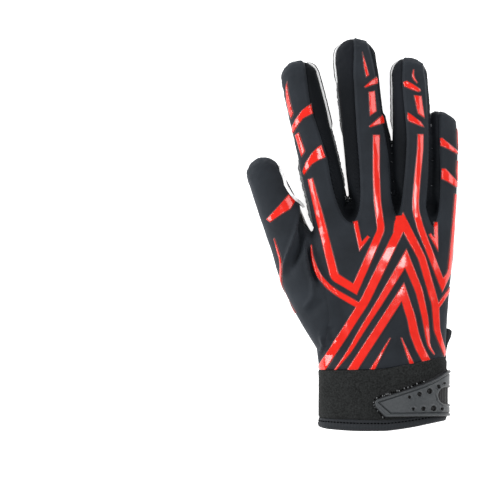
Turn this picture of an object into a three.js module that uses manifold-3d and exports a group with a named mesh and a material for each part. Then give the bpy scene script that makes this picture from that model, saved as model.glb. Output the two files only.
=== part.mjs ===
// A football glove for the right hand, lying on its palm: fingers along +Y, thumb towards -X, back of the hand up.
// Every panel is cut from one hollow hand form, along the seams where the real glove is sewn together.
// Drawing frame, in millimetres: X 0 is the middle of the wrist, Y 0 the lower edge of the cuff, Z 0 the surface below.
import * as THREE from 'three';
import { mergeVertices } from 'three/addons/utils/BufferGeometryUtils.js';
import Module from 'manifold-3d';

const wasm = await Module();
wasm.setup();

const WALL = 1.5; // cloth and coated palm
const SEAM = 0.3; // free gap between two panels
const TOP = 60; // above everything
const FAR = 400; // beyond the glove on every side
const TIP_SIDES = 14; // corners of a finger's section
const HAND_SIDES = 26; // corners of the hand's section
const UPPER_ROUNDNESS = 2.3; // superellipse exponents: the back is an arch, the palm side is flatter
const LOWER_ROUNDNESS = 2.9;
const SEAM_LEVEL = 0.45; // the palm seam's height, as a share of the section's height
const BELOW = { hand: 3, digit: 0.25, tip: 4 }; // how far the space below the palm seam reaches past the form

// The hand from the wrist to the knuckles: a row for each section across X.
const HAND = [
  { y: -12, left: -39.6, right: 36.8, low: 0.2, high: 33.0 },
  { y: 30, left: -39.6, right: 36.8, low: 0.2, high: 33.0 },
  { y: 62, left: -41.4, right: 38.8, low: -0.7, high: 31.5 },
  { y: 80, left: -43.0, right: 40.2, low: -0.7, high: 31.0 },
  { y: 98, left: -44.5, right: 42.0, low: 0.6, high: 30.5 },
  { y: 114, left: -45.0, right: 43.4, low: 2.6, high: 29.0 },
  { y: 125, left: -43.5, right: 44.6, low: 4.0, high: 26.5 },
  { y: 132, left: -38.0, right: 43.0, low: 6.0, high: 23.0 },
  { y: 136, left: -30.0, right: 36.0, low: 9.0, high: 18.5 },
];

// The four fingers: root and tip of the middle line, half the width, height as a share of the middle finger's,
// and how far the very tip leans towards the little finger's side.
const FINGERS = [
  { name: 'index', root: [-28.0, 112], tip: [-54.4, 229.0], half: 12.4, height: 0.98, lean: 0.6 },
  { name: 'middle', root: [-4.0, 112], tip: [-19.8, 243.6], half: 13.4, height: 1.0, lean: 0 },
  { name: 'ring', root: [18.6, 112], tip: [16.6, 232.0], half: 11.9, height: 0.97, lean: -1.2 },
  { name: 'little', root: [33.2, 92], tip: [39.2, 199.0], half: 8.4, height: 0.84, lean: -3.8 },
];

// A finger's sections: share of the way to the round tip, share of its half width, bottom and top.
const FINGER_SECTIONS = [
  { way: 0.0, width: 0.9, low: 5.0, high: 24.5 },
  { way: 0.22, width: 1.02, low: 3.8, high: 24.0 },
  { way: 0.45, width: 1.04, low: 2.6, high: 22.0 },
  { way: 0.82, width: 1.0, low: 0.2, high: 18.2 },
  { way: 1.0, width: 0.96, low: -0.7, high: 16.0 },
];
const DOME_ANGLES = [30, 62]; // degrees, the rings that close a round tip
const LEAN_BEFORE = 0.35; // share of the lean that the finger has where its round tip starts
const LEAN_POWER = 8; // how late along the finger that share sets in

// The thumb, from inside the wrist to where its round tip starts: middle line, half width, bottom and top.
const THUMB = [
  { x: -17, y: 50, half: 19.0, low: 1.0, high: 30.0 },
  { x: -33, y: 74, half: 18.5, low: 0.4, high: 30.0 },
  { x: -47.5, y: 98, half: 17.0, low: -0.3, high: 27.5 },
  { x: -57.8, y: 120, half: 13.4, low: -0.5, high: 24.0 },
  { x: -64.6, y: 137, half: 12.6, low: -0.6, high: 21.5 },
  { x: -71.4, y: 156, half: 12.4, low: -0.7, high: 18.5 },
];

// Gussets between two fingers, in plan: from the web up along the second finger, and down along the first.
const GUSSETS = [
  {
    name: 'gusset_index_middle',
    outline: [[-19.8, 129.0], [-16.7, 132.4], [-14.8, 139.0], [-14.3, 150.2], [-15.0, 165.0], [-16.3, 181.8],
      [-17.5, 202.0], [-18.5, 219.0], [-21.5, 250.0], [-51.0, 240.0], [-48.5, 228.2], [-45.7, 206.5],
      [-43.2, 195.9], [-37.6, 178.6], [-34.6, 168.5], [-32.2, 154.4], [-29.0, 142.5], [-24.8, 133.0]],
  },
  {
    name: 'gusset_middle_ring',
    outline: [[8.4, 133.6], [10.7, 139.0], [12.1, 149.4], [13.8, 168.0], [14.3, 183.5], [13.2, 198.0],
      [11.8, 214.5], [10.2, 240.0], [-9.6, 252.0], [-5.2, 225.0], [-2.4, 207.0], [-0.6, 192.8], [3.0, 173.0],
      [4.4, 160.0], [4.4, 150.0], [6.2, 139.0]],
  },
  {
    name: 'gusset_ring_little',
    outline: [[30.1, 127.4], [32.9, 131.4], [34.6, 140.0], [35.2, 157.2], [34.7, 179.8], [33.6, 204.0],
      [25.0, 240.0], [27.2, 215.0], [28.4, 185.0], [28.0, 160.6], [27.0, 147.0], [26.6, 137.5]],
  },
];

// Seam between the thumb's panels and the hand's, from beyond the thumb's crotch to the cuff, and round the thumb.
const THUMB_SEAM = [
  [-48, 124.5],
  [-44.6, 123],
  [-41.5, 106],
  [-36, 89],
  [-33.5, 70],
  [-36.5, 52],
  [-42, 36],
];
const ROUND_THUMB = [[-60, 20], [-FAR, 20], [-FAR, 200], [-60, 200]];

// The cuff, its hem and its closure. The lower edge is a shallow bow, the upper edge is slanted.
const CUFF = { low: -0.4, bow: 0.003, bowX: -4, leftTop: 37.8, rightTop: 43.6, hem: 6.6, wrist: 42 };
const BAND = { inner: -1.6, outer: 0.5 }; // offsets from the hand form's outside
const HEM = { inner: -1.8, outer: 0.8 };
const BINDING = { inner: 1.1, outer: 2.3, inside: 32.0, top: 64.5, bottom: 7.0 };
const STRAP = { inner: 1.1, outer: 2.1, margin: 1.6, under: 9.5 };
const TAB = { inner: 2.4, outer: 3.9, rim: 2.6, rimRoot: 3.7, rimTop: 4.6, holesFrom: 20 };
const TAB_OUTLINE = [
  [-5.0, 18.6],
  [1.9, 9.2],
  [46, 9.6],
  [46, 39.0],
  [36, 35.0],
  [19.8, 27.6],
];
const TAB_NOTCH = { x: 41.8, y: 22.5, radius: 6.4 };
const TAB_HOLES = [
  { x: 16.6, y: 22.4, radius: 0.9 },
  { x: 23.0, y: 24.2, radius: 1.3 },
  { x: 29.2, y: 26.4, radius: 1.6 },
  { x: 34.6, y: 29.2, radius: 1.2 },
  { x: 18.6, y: 14.8, radius: 1.1 },
  { x: 24.6, y: 14.9, radius: 1.4 },
  { x: 31.0, y: 15.0, radius: 1.6 },
  { x: 36.6, y: 14.8, radius: 1.1 },
];
const HOLE_SIDES = 8;

// The raised print on the back. Each line is a list of points of its middle, [x, y, width there].
const PRINT = {
  bottom: 0.3, // offsets from the hand form's outside
  top: 0.9,
  edge: 2.0, // how far it keeps above the palm seam
  margin: 1.4, // the seam's block is that much wider than a digit, so that it takes the print too
};
const STRIPES = [
  {
    name: 'print_chevron_outer',
    lines: [
      [[-38.9, 36.8, 3.7], [-12.4, 80.9, 4.6], [12.1, 129.0, 5.0], [23.6, 107.3, 4.3], [31.6, 78.4, 4.0],
        [33.2, 62.6, 3.1], [38.9, 46.8, 0.9]],
      [[-44.7, 116.6, 1.2], [-43.5, 109.7, 1.9], [-40.9, 98.0, 3.3], [-32.2, 88.7, 3.7], [-14.0, 77.2, 3.7]],
      [[32.0, 75.0, 2.5], [34.7, 78.4, 2.5], [42.2, 89.3, 1.9]],
    ],
  },
  {
    name: 'print_chevron_middle',
    lines: [[[-29.8, 38.8, 0.7], [-13.9, 62.6, 3.1], [-1.7, 81.2, 3.8], [14.4, 109.2, 4.6], [22.3, 87.4, 3.7],
      [27.0, 62.6, 2.9], [29.4, 53.3, 1.9], [32.5, 47.1, 0.6]]],
  },
  {
    name: 'print_chevron_inner',
    lines: [[[-20.6, 36.6, 5.3], [-3.3, 62.6, 5.1], [12.9, 87.5, 4.8], [19.0, 62.6, 4.1], [27.0, 41.3, 4.3]]],
  },
  { name: 'print_ray_left', lines: [[[4.3, 57.3, 0.6], [-6.8, 37.6, 2.9]]] },
  { name: 'print_ray_right', lines: [[[11.4, 57.8, 0.6], [19.3, 39.9, 3.1]]] },
  {
    name: 'print_index_line',
    lines: [[[-44.5, 156.6, 3.3], [-37.8, 132.7, 4.3], [-29.8, 95.5, 4.7], [-16.6, 87.4, 4.6], [-0.7, 124.9, 4.6],
      [-1.6, 138.9, 4.3], [-4.2, 161.8, 4.3], [-4.2, 182.9, 4.1]]],
  },
  {
    name: 'print_ring_line',
    lines: [[[23.2, 183.8, 3.5], [23.2, 171.1, 3.8], [20.7, 152.5, 4.0], [21.0, 138.9, 4.0], [24.2, 125.2, 4.0],
      [36.8, 90.5, 3.6], [40.8, 98.6, 2.7], [42.6, 118.4, 2.5], [45.0, 146.9, 1.9]]],
  },
  { name: 'print_tick_left', lines: [[[-16.4, 129.9, 2.9], [-13.3, 115.0, 2.7], [-9.0, 120.6, 1.9]]] },
  { name: 'print_tick_right', lines: [[[32.1, 129.6, 2.7], [33.4, 116.0, 2.5], [30.4, 121.2, 1.9]]] },
  { name: 'print_index_tip', lines: [[[-58.9, 216.4, 0.6], [-56.7, 194.1, 2.9]]] },
  { name: 'print_index_bar_1', lines: [[[-55.2, 189.1, 1.9], [-44.1, 199.6, 6.5]]] },
  { name: 'print_index_link', lines: [[[-52.6, 183.8, 3.2], [-49.3, 171.1, 3.1]]] },
  { name: 'print_index_bar_2', lines: [[[-48.5, 159.3, 1.6], [-37.0, 173.6, 5.9]]] },
  { name: 'print_middle_tip', lines: [[[-12.5, 235.0, 0.6], [-10.0, 219.5, 2.4]]] },
  { name: 'print_middle_bar_1', lines: [[[-10.9, 213.6, 1.2], [-4.0, 218.2, 4.7]]] },
  { name: 'print_middle_link', lines: [[[-7.1, 210.2, 3.5], [-6.1, 196.3, 3.7]]] },
  { name: 'print_middle_bar_2', lines: [[[-7.5, 188.9, 1.2], [0.0, 193.8, 4.7]]] },
  { name: 'print_ring_tip', lines: [[[18.6, 223.5, 0.6], [21.5, 216.0, 1.9]]] },
  { name: 'print_ring_bar_1', lines: [[[13.4, 214.8, 3.7], [22.6, 210.6, 1.2]]] },
  { name: 'print_ring_link', lines: [[[21.6, 207.7, 3.5], [23.9, 194.3, 4.0]]] },
  { name: 'print_ring_bar_2', lines: [[[15.7, 194.4, 3.7], [25.0, 188.8, 1.2]]] },
  { name: 'print_little_bar_1', lines: [[[36.3, 179.2, 4.3], [45.3, 173.3, 1.5]]] },
  { name: 'print_little_bar_2', lines: [[[37.2, 158.7, 4.3], [45.8, 151.6, 2.1]]] },
  { name: 'print_little_side_1', lines: [[[45.9, 188.5, 0.8], [46.4, 183.0, 2.4], [46.4, 178.0, 1.6]]] },
  { name: 'print_little_side_2', lines: [[[45.6, 168.8, 0.8], [46.3, 163.0, 2.8], [46.4, 157.8, 1.8]]] },
  { name: 'print_thumb_bar', lines: [[[-55.9, 143.5, 4.6], [-70.7, 130.5, 2.5]]] },
  {
    name: 'print_thumb_edge',
    lines: [[[-66.8, 117.8, 0.7], [-64.2, 104.8, 1.4], [-62.9, 93.0, 1.5], [-55.1, 73.5, 0.7]]],
  },
];

const material = (color, roughness) => new THREE.MeshStandardMaterial({ color, roughness });
const MATERIALS = {
  cloth: material(0x23262b, 0.85),
  coated: material(0x0d0f10, 0.15),
  gusset: material(0x15171b, 0.8),
  elastic: material(0x1b1d1f, 0.9),
  rubber: material(0x3a3e43, 0.55),
  print: material(0xe02412, 0.3),
};

// A closed three.js geometry as a solid that can be joined and cut.
function solid(geometry) {
  const bare = geometry.index ? geometry.toNonIndexed() : geometry.clone();
  bare.deleteAttribute('normal');
  bare.deleteAttribute('uv');
  const merged = mergeVertices(bare, 1e-4);
  return new wasm.Manifold(new wasm.Mesh({
    numProp: 3,
    vertProperties: new Float32Array(merged.attributes.position.array),
    triVerts: new Uint32Array(merged.index.array),
  }));
}

// One closed body through rings of points with the same count, each turning from +X over +Z, in order towards +Y.
function loft(rings) {
  const sides = rings[0].length;
  const points = rings.flat();
  const faces = [];
  const corner = (ring, side) => ring * sides + (side % sides);
  for (let ring = 0; ring + 1 < rings.length; ring += 1) {
    for (let side = 0; side < sides; side += 1) {
      faces.push(corner(ring, side), corner(ring + 1, side), corner(ring + 1, side + 1));
      faces.push(corner(ring, side), corner(ring + 1, side + 1), corner(ring, side + 1));
    }
  }
  for (const [ring, outward] of [[0, 1], [rings.length - 1, -1]]) {
    const middle = new THREE.Vector3();
    rings[ring].forEach((point) => middle.addScaledVector(point, 1 / sides));
    const centre = points.push(middle) - 1;
    for (let side = 0; side < sides; side += 1) {
      const [a, b] = [corner(ring, side), corner(ring, side + 1)];
      faces.push(...(outward > 0 ? [centre, a, b] : [centre, b, a]));
    }
  }
  const geometry = new THREE.BufferGeometry().setFromPoints(points);
  geometry.setIndex(faces);
  return solid(geometry);
}

// A plate with an outline in plan, from one height to another.
function plate(outline, low = -TOP, high = TOP) {
  const shape = new THREE.Shape(outline.map(([x, y]) => new THREE.Vector2(x, y)));
  const geometry = new THREE.ExtrudeGeometry(shape, { depth: high - low, bevelEnabled: false });
  return solid(geometry.translate(0, 0, low));
}

function disc(x, y, radius, low, high) {
  const geometry = new THREE.CylinderGeometry(radius, radius, high - low, HOLE_SIDES);
  return solid(geometry.rotateX(Math.PI / 2).translate(x, y, (low + high) / 2));
}

const above = (height) => plate([[-FAR, -FAR], [FAR, -FAR], [FAR, FAR], [-FAR, FAR]], height, TOP * 2);
const union = (solids) => solids.reduce((whole, next) => whole.add(next));
const seamHeight = ({ low, high }) => low + (high - low) * SEAM_LEVEL;
const mix = (a, b, share) => a + (b - a) * share;

// One section: an arch over the palm seam and a flatter bowl under it, offset outwards by grow.
function ring(section, sides, grow) {
  const { x, y, half, low, high, heading } = section;
  const middle = seamHeight(section);
  const points = [];
  for (let side = 0; side < sides; side += 1) {
    const angle = (2 * Math.PI * side) / sides;
    const [across, rise] = [Math.cos(angle), Math.sin(angle)];
    const power = 2 / (rise > 0 ? UPPER_ROUNDNESS : LOWER_ROUNDNESS);
    const width = Math.sign(across) * Math.abs(across) ** power * (half + grow);
    const height = rise > 0 ? high - middle + grow : middle - low + grow;
    const up = Math.sign(rise) * Math.abs(rise) ** power * height;
    points.push(new THREE.Vector3(x + width * Math.cos(heading), y - width * Math.sin(heading), middle + up));
  }
  return points;
}

// A section moved along its heading.
const along = (section, way) => ({
  ...section,
  x: section.x + way * Math.sin(section.heading),
  y: section.y + way * Math.cos(section.heading),
});

// The rings that round off a tip after its last section, which keep the seam's height.
function dome(last, grow) {
  const radius = last.half;
  const middle = seamHeight(last);
  return [...DOME_ANGLES, 90].map((degrees) => {
    const angle = THREE.MathUtils.degToRad(degrees);
    const forward = (radius + grow) * Math.sin(angle);
    const shrink = degrees === 90 ? 0.06 : Math.cos(angle);
    const place = along(last, forward);
    return {
      ...place,
      x: place.x + last.lean * (1 - LEAN_BEFORE) * Math.sin(angle) ** 2,
      half: (radius + grow) * shrink - grow,
      low: middle - (middle - last.low + grow) * shrink + grow,
      high: middle + (last.high - middle + grow) * shrink - grow,
    };
  });
}

function fingerSections({ root, tip, half, height, lean }) {
  const heading = Math.atan2(tip[0] - root[0], tip[1] - root[1]);
  const start = new THREE.Vector2(...root);
  const ahead = new THREE.Vector2(Math.sin(heading), Math.cos(heading));
  const end = new THREE.Vector2(...tip).addScaledVector(ahead, -half);
  return FINGER_SECTIONS.map((row) => {
    const place = start.clone().lerp(end, row.way);
    const x = place.x + lean * LEAN_BEFORE * row.way ** LEAN_POWER;
    return { x, y: place.y, half: half * row.width, low: row.low, high: row.high * height, heading, lean };
  });
}

function thumbSections() {
  return THUMB.map((row, i) => {
    const before = THUMB[Math.max(i - 1, 0)];
    const after = THUMB[Math.min(i + 1, THUMB.length - 1)];
    return { ...row, heading: Math.atan2(after.x - before.x, after.y - before.y), lean: 0 };
  });
}

const handSections = HAND.map((row) => ({
  ...row,
  x: (row.left + row.right) / 2,
  half: (row.right - row.left) / 2,
  heading: 0,
}));

// The hand form, offset by grow: the hand, the fingers and the thumb, flattened on the surface it lies on.
function handForm(grow, floor) {
  const knuckles = along(handSections[handSections.length - 1], grow);
  const hand = loft([...handSections.slice(0, -1), knuckles].map((section) => ring(section, HAND_SIDES, grow)));
  const digits = [...FINGERS.map(fingerSections), thumbSections()].map((sections) => {
    const root = along(sections[0], -grow);
    const rings = [root, ...sections.slice(1), ...dome(sections[sections.length - 1], grow)];
    return loft(rings.map((section) => ring(section, TIP_SIDES, grow)));
  });
  return union([hand, ...digits]).intersect(above(floor));
}

// What lies below the palm seam: a flat-topped block along the hand and along each digit.
function belowSeam(lift, margin = BELOW.digit) {
  const block = (sections, reach) => loft(sections.map((section) => {
    const { x, y, half, heading } = section;
    const top = seamHeight(section) + lift;
    const out = (width, z) => {
      return new THREE.Vector3(x + width * Math.cos(heading), y - width * Math.sin(heading), z);
    };
    const width = half + reach;
    return [out(width, -TOP), out(width, top), out(-width, top), out(-width, -TOP)];
  }));
  const digits = [...FINGERS.map(fingerSections), thumbSections()].map((sections) => {
    const last = sections[sections.length - 1];
    return block([...sections, along(last, last.half + BELOW.tip)], margin);
  });
  return union([block(handSections, BELOW.hand), ...digits]);
}

const cuffBottom = (x) => CUFF.low + CUFF.bow * (x - CUFF.bowX) ** 2;
const cuffTop = (x) => mix(CUFF.leftTop, CUFF.rightTop, (x + CUFF.wrist) / (2 * CUFF.wrist));

// Plan outline between two curves over X, from one side of the wrist to the other.
function strip(lower, upper, from = -50, to = 50, steps = 10) {
  const xs = Array.from({ length: steps + 1 }, (_, i) => mix(from, to, i / steps));
  return [...xs.map((x) => [x, lower(x)]), ...xs.reverse().map((x) => [x, upper(x)])];
}

const wristForm = (grow) => loft(handSections.slice(0, 4).map((section) => ring(section, HAND_SIDES, grow)));
const skin = ({ inner, outer }) => wristForm(outer).subtract(wristForm(inner)).intersect(above(0));

// The outline moved outwards by a distance, each corner along the bisector of its two edges.
function offsetOutline(outline, distance) {
  const points = outline.map(([x, y]) => new THREE.Vector2(x, y));
  return points.map((point, i) => {
    const before = points[(i + points.length - 1) % points.length];
    const after = points[(i + 1) % points.length];
    const normal = (a, b) => new THREE.Vector2(b.y - a.y, a.x - b.x).normalize();
    const [first, second] = [normal(before, point), normal(point, after)];
    const bisector = first.clone().add(second).normalize();
    const moved = point.clone().addScaledVector(bisector, distance / bisector.dot(first));
    return [moved.x, moved.y];
  });
}

// Plan outline of a stripe: its middle line widened to both sides, with mitred corners.
function ribbon(line) {
  const points = line.map(([x, y]) => new THREE.Vector2(x, y));
  const sides = points.map((point, i) => {
    const before = points[Math.max(i - 1, 0)];
    const after = points[Math.min(i + 1, points.length - 1)];
    const arriving = (i > 0 ? point.clone().sub(before) : after.clone().sub(point)).normalize();
    const leaving = (i + 1 < points.length ? after.clone().sub(point) : point.clone().sub(before)).normalize();
    const across = (way) => new THREE.Vector2(-way.y, way.x);
    const mitre = across(arriving).add(across(leaving)).normalize();
    const reach = line[i][2] / 2 / mitre.dot(across(leaving));
    return [point.clone().addScaledVector(mitre, reach), point.clone().addScaledVector(mitre, -reach)];
  });
  const outline = [...sides.map(([left]) => left), ...sides.map(([, right]) => right).reverse()];
  return outline.map(({ x, y }) => [x, y]);
}

const group = new THREE.Group();
const largest = (body) => body.decompose().reduce((a, b) => (a.volume() > b.volume() ? a : b));
function add(name, body, look) {
  const { vertProperties, triVerts } = largest(body).getMesh();
  const geometry = new THREE.BufferGeometry();
  geometry.setAttribute('position', new THREE.BufferAttribute(new Float32Array(vertProperties), 3));
  geometry.setIndex(new THREE.BufferAttribute(new Uint32Array(triVerts), 1));
  geometry.computeVertexNormals();
  const mesh = new THREE.Mesh(geometry, look);
  mesh.name = name;
  group.add(mesh);
}

// The glove's hand: one hollow form, cut off above the cuff and parted along the seams.
const cuffRoom = plate(strip(() => -TOP, (x) => cuffTop(x) + SEAM));
const shell = handForm(0, 0).subtract(handForm(-WALL, WALL)).subtract(cuffRoom);
const upper = shell.subtract(belowSeam(SEAM));
const lower = shell.intersect(belowSeam(0));
const thumbSide = (gap) => {
  const seam = THUMB_SEAM.map(([x, y]) => [x - gap, y]);
  return plate([...seam, ...ROUND_THUMB]);
};
const gussetRoom = union(GUSSETS.map(({ outline }) => plate(offsetOutline(outline, SEAM))));

add('back_panel', upper.subtract(thumbSide(-SEAM)).subtract(gussetRoom), MATERIALS.cloth);
add('thumb_back', upper.intersect(thumbSide(0)), MATERIALS.cloth);
add('palm_panel', lower.subtract(thumbSide(-SEAM)), MATERIALS.coated);
add('thumb_palm', lower.intersect(thumbSide(0)), MATERIALS.coated);
for (const { name, outline } of GUSSETS) {
  add(name, upper.intersect(plate(outline)), MATERIALS.gusset);
}

// The print on the back of the hand and the fingers.
const printSkin = handForm(PRINT.top, 0)
  .subtract(handForm(PRINT.bottom, 0))
  .subtract(belowSeam(PRINT.edge, PRINT.margin))
  .subtract(cuffRoom);
for (const { name, lines } of STRIPES) {
  add(name, printSkin.intersect(union(lines.map((line) => plate(ribbon(line), 0)))), MATERIALS.print);
}

// The cuff: an elastic band, the taped hem below it, and the bound edge of the vent on the little finger's side.
const hemTop = (x) => cuffBottom(x) + CUFF.hem;
add('cuff_band', skin(BAND).intersect(plate(strip((x) => hemTop(x) + SEAM, cuffTop))), MATERIALS.elastic);
add('cuff_hem', skin(HEM).intersect(plate(strip(cuffBottom, hemTop))), MATERIALS.cloth);
const bindingPlan = strip((x) => cuffBottom(x) + BINDING.bottom, () => BINDING.top, BINDING.inside, 60, 4);
const bindingRoom = skin(BINDING).intersect(plate(bindingPlan, -TOP, STRAP.under - SEAM));
add('vent_binding', bindingRoom, MATERIALS.cloth);

// The closure: a textile strap round the little finger's side, and the moulded rubber tab on it.
const tabPlan = plate(TAB_OUTLINE, STRAP.under, TOP);
const strapPlan = plate(offsetOutline(TAB_OUTLINE, STRAP.margin), STRAP.under, TOP);
add('closure_strap', skin(STRAP).intersect(strapPlan), MATERIALS.elastic);
const rimPlan = tabPlan.subtract(plate(offsetOutline(TAB_OUTLINE, -TAB.rim)));
const rim = skin({ inner: TAB.rimRoot, outer: TAB.rimTop }).intersect(rimPlan);
const holes = union(TAB_HOLES.map(({ x, y, radius }) => disc(x, y, radius, TAB.holesFrom, TOP)));
const notch = disc(TAB_NOTCH.x, TAB_NOTCH.y, TAB_NOTCH.radius, -TOP, TOP);
add('pull_tab', skin(TAB).intersect(tabPlan).add(rim).subtract(holes).subtract(notch), MATERIALS.rubber);

// The part's origin is the middle of its box, on the surface that it lies on.
const box = new THREE.Box3().setFromObject(group, true);
const centre = box.getCenter(new THREE.Vector3());
group.position.set(-centre.x, -centre.y, -box.min.z);

export default group;
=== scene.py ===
"""Looks of a football glove for the right hand: sewn and coated panels, raised print, cuff and closure.

All tables are in millimetres, in the drawing frame of the part's source: X 0 is the middle of the wrist,
Y 0 the cuff's lower edge, Z 0 the surface below. The glove lies on its palm, its fingers along +Y and its
thumb towards -X.
"""
import math

import bpy
import numpy as np
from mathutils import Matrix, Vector


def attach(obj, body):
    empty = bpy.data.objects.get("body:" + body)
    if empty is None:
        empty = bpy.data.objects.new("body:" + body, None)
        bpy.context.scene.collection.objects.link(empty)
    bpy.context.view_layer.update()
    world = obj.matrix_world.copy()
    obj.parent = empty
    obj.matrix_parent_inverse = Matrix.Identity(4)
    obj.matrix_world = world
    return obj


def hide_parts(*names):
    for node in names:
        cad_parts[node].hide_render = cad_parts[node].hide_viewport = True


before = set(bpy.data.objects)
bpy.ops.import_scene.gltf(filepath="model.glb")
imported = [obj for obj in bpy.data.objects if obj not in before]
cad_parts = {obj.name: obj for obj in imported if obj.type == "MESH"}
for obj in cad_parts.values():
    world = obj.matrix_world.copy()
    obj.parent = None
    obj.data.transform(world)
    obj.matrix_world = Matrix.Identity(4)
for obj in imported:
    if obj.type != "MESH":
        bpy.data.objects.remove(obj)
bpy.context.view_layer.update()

SHIFT = np.array([18.673, -121.404, 0.0])  # from the drawing frame to the part's frame
# The camera stands over WATCHED, and the picture is FRAME_WIDTH wide at SHARP_HEIGHT.
WATCHED = np.array([-82.46, 112.22])
FRAME_WIDTH, SHARP_HEIGHT, LENS, SENSOR = 310.0, 12.0, 300.0, 36.0
EYE_HEIGHT = FRAME_WIDTH * LENS / SENSOR + SHARP_HEIGHT

# ---- the hand form, as in the part's source
UPPER_ROUNDNESS = 2.3
LOWER_ROUNDNESS = 2.9
SEAM_LEVEL = 0.45
SEAM = 0.3
# y, left, right, low, high
HAND = [
    (-12, -39.6, 37.6, 0.2, 33),
    (30, -39.6, 37.6, 0.2, 33),
    (62, -42.3, 39.3, -0.7, 31.2),
    (80, -43.8, 40.5, -0.7, 31.3),
    (98, -44.5, 42, 0.6, 31.3),
    (114, -45, 43.4, 2.6, 30.2),
    (125, -43.5, 44.6, 4, 26.5),
    (132, -38, 43, 6, 23),
    (136, -30, 36, 9, 18.5),
]
# root, tip, half width, height, lean of the tip
FINGERS = {
    "index": ((-27.2, 112), (-54.2, 230.2), 12, 0.98, -0.4),
    "middle": ((-4, 112), (-18.2, 244.3), 13.3, 1, -0.6),
    "ring": ((18.6, 112), (17.2, 232.4), 11.7, 0.97, -1.8),
    "little": ((33.8, 92), (39.7, 199), 8.9, 0.84, -5.6),
}
# way, width, low, high
FINGER_SECTIONS = [
    (0, 0.9, 5, 24.5),
    (0.22, 1.02, 3.8, 24),
    (0.45, 1.02, 2.6, 23),
    (0.6, 1.01, 1.6, 21.8),
    (0.82, 1, 0.2, 18.5),
    (1, 0.96, -0.7, 16),
]
LEAN_BEFORE, LEAN_POWER = 0.35, 8  # share of the lean where the round tip starts, and how late it sets in
STEPS = 50  # sections along a digit, before its round tip
DOME_ANGLES = np.radians(np.linspace(8, 90, 12))  # those that round off the tip
# x, y, half width, low, high
THUMB = [
    (-17, 50, 19.6, 1, 30),
    (-33, 74, 19, 0.4, 30),
    (-47.5, 98, 17, -0.3, 27.5),
    (-57.8, 120, 13.4, -0.5, 24),
    (-64.4, 137, 12.8, -0.6, 21.5),
    (-73.9, 159.3, 10.6, -0.7, 18.5),
]
# Cloth that fills the web between two fingers: x, y, half width, low, high.
WEBS = {
    "middle_ring": [(3.2, 120, 4, 8, 21), (3.6, 150, 3.4, 6, 18), (3.6, 166, 3, 5, 15), (3, 175, 2.4, 5, 14),
        (1.8, 185, 1.8, 5, 13), (0.2, 196, 0.9, 6, 12)],
    "ring_little": [(29, 120, 3, 8, 19), (30.2, 160, 2.6, 5, 14), (31.2, 184, 1.6, 4, 11)],
}
GUSSETS = {
    "index_middle": [(-19.8, 129), (-16.7, 132.4), (-14.8, 139), (-14.3, 150.2), (-15, 165), (-16.3, 181.8),
        (-17.5, 202), (-18.5, 219), (-21.5, 250), (-51, 240), (-48.5, 228.2), (-45.7, 206.5), (-43.2, 195.9),
        (-37.6, 178.6), (-34.6, 168.5), (-32.2, 154.4), (-29, 142.5), (-24.8, 133)],
    "middle_ring": [(8.4, 133.6), (10.7, 139), (12.1, 149.4), (13.8, 168), (14.3, 183.5), (13.2, 198),
        (11.8, 214.5), (10.2, 240), (-9.6, 252), (-5.2, 225), (-2.4, 207), (-0.6, 192.8), (3, 173),
        (4.4, 160), (4.4, 150), (6.2, 139)],
    "ring_little": [(30.1, 127.4), (32.9, 131.4), (34.6, 140), (35.2, 157.2), (34.7, 179.8), (33.6, 204),
        (25, 240), (27.2, 215), (28.4, 185), (28, 160.6), (27, 147), (26.6, 137.5)],
}
# Where a gusset dives into the web: x, y, reach, depth.
POCKETS = [(-20.6, 140, 6, 3.4), (8, 144, 4.5, 3.2), (30.6, 139, 3.8, 3.6)]
# The thumb's seam, and the way round the thumb.
THUMB_AREA = [(-48, 124.5), (-44.6, 123), (-41.5, 106), (-36, 89), (-33.5, 70), (-36.5, 52), (-42, 36),
    (-60, 20), (-400, 20), (-400, 200), (-60, 200)]
THUMB_WRAP = 3  # how far the back's cloth comes down round the outer side of the thumb

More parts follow.
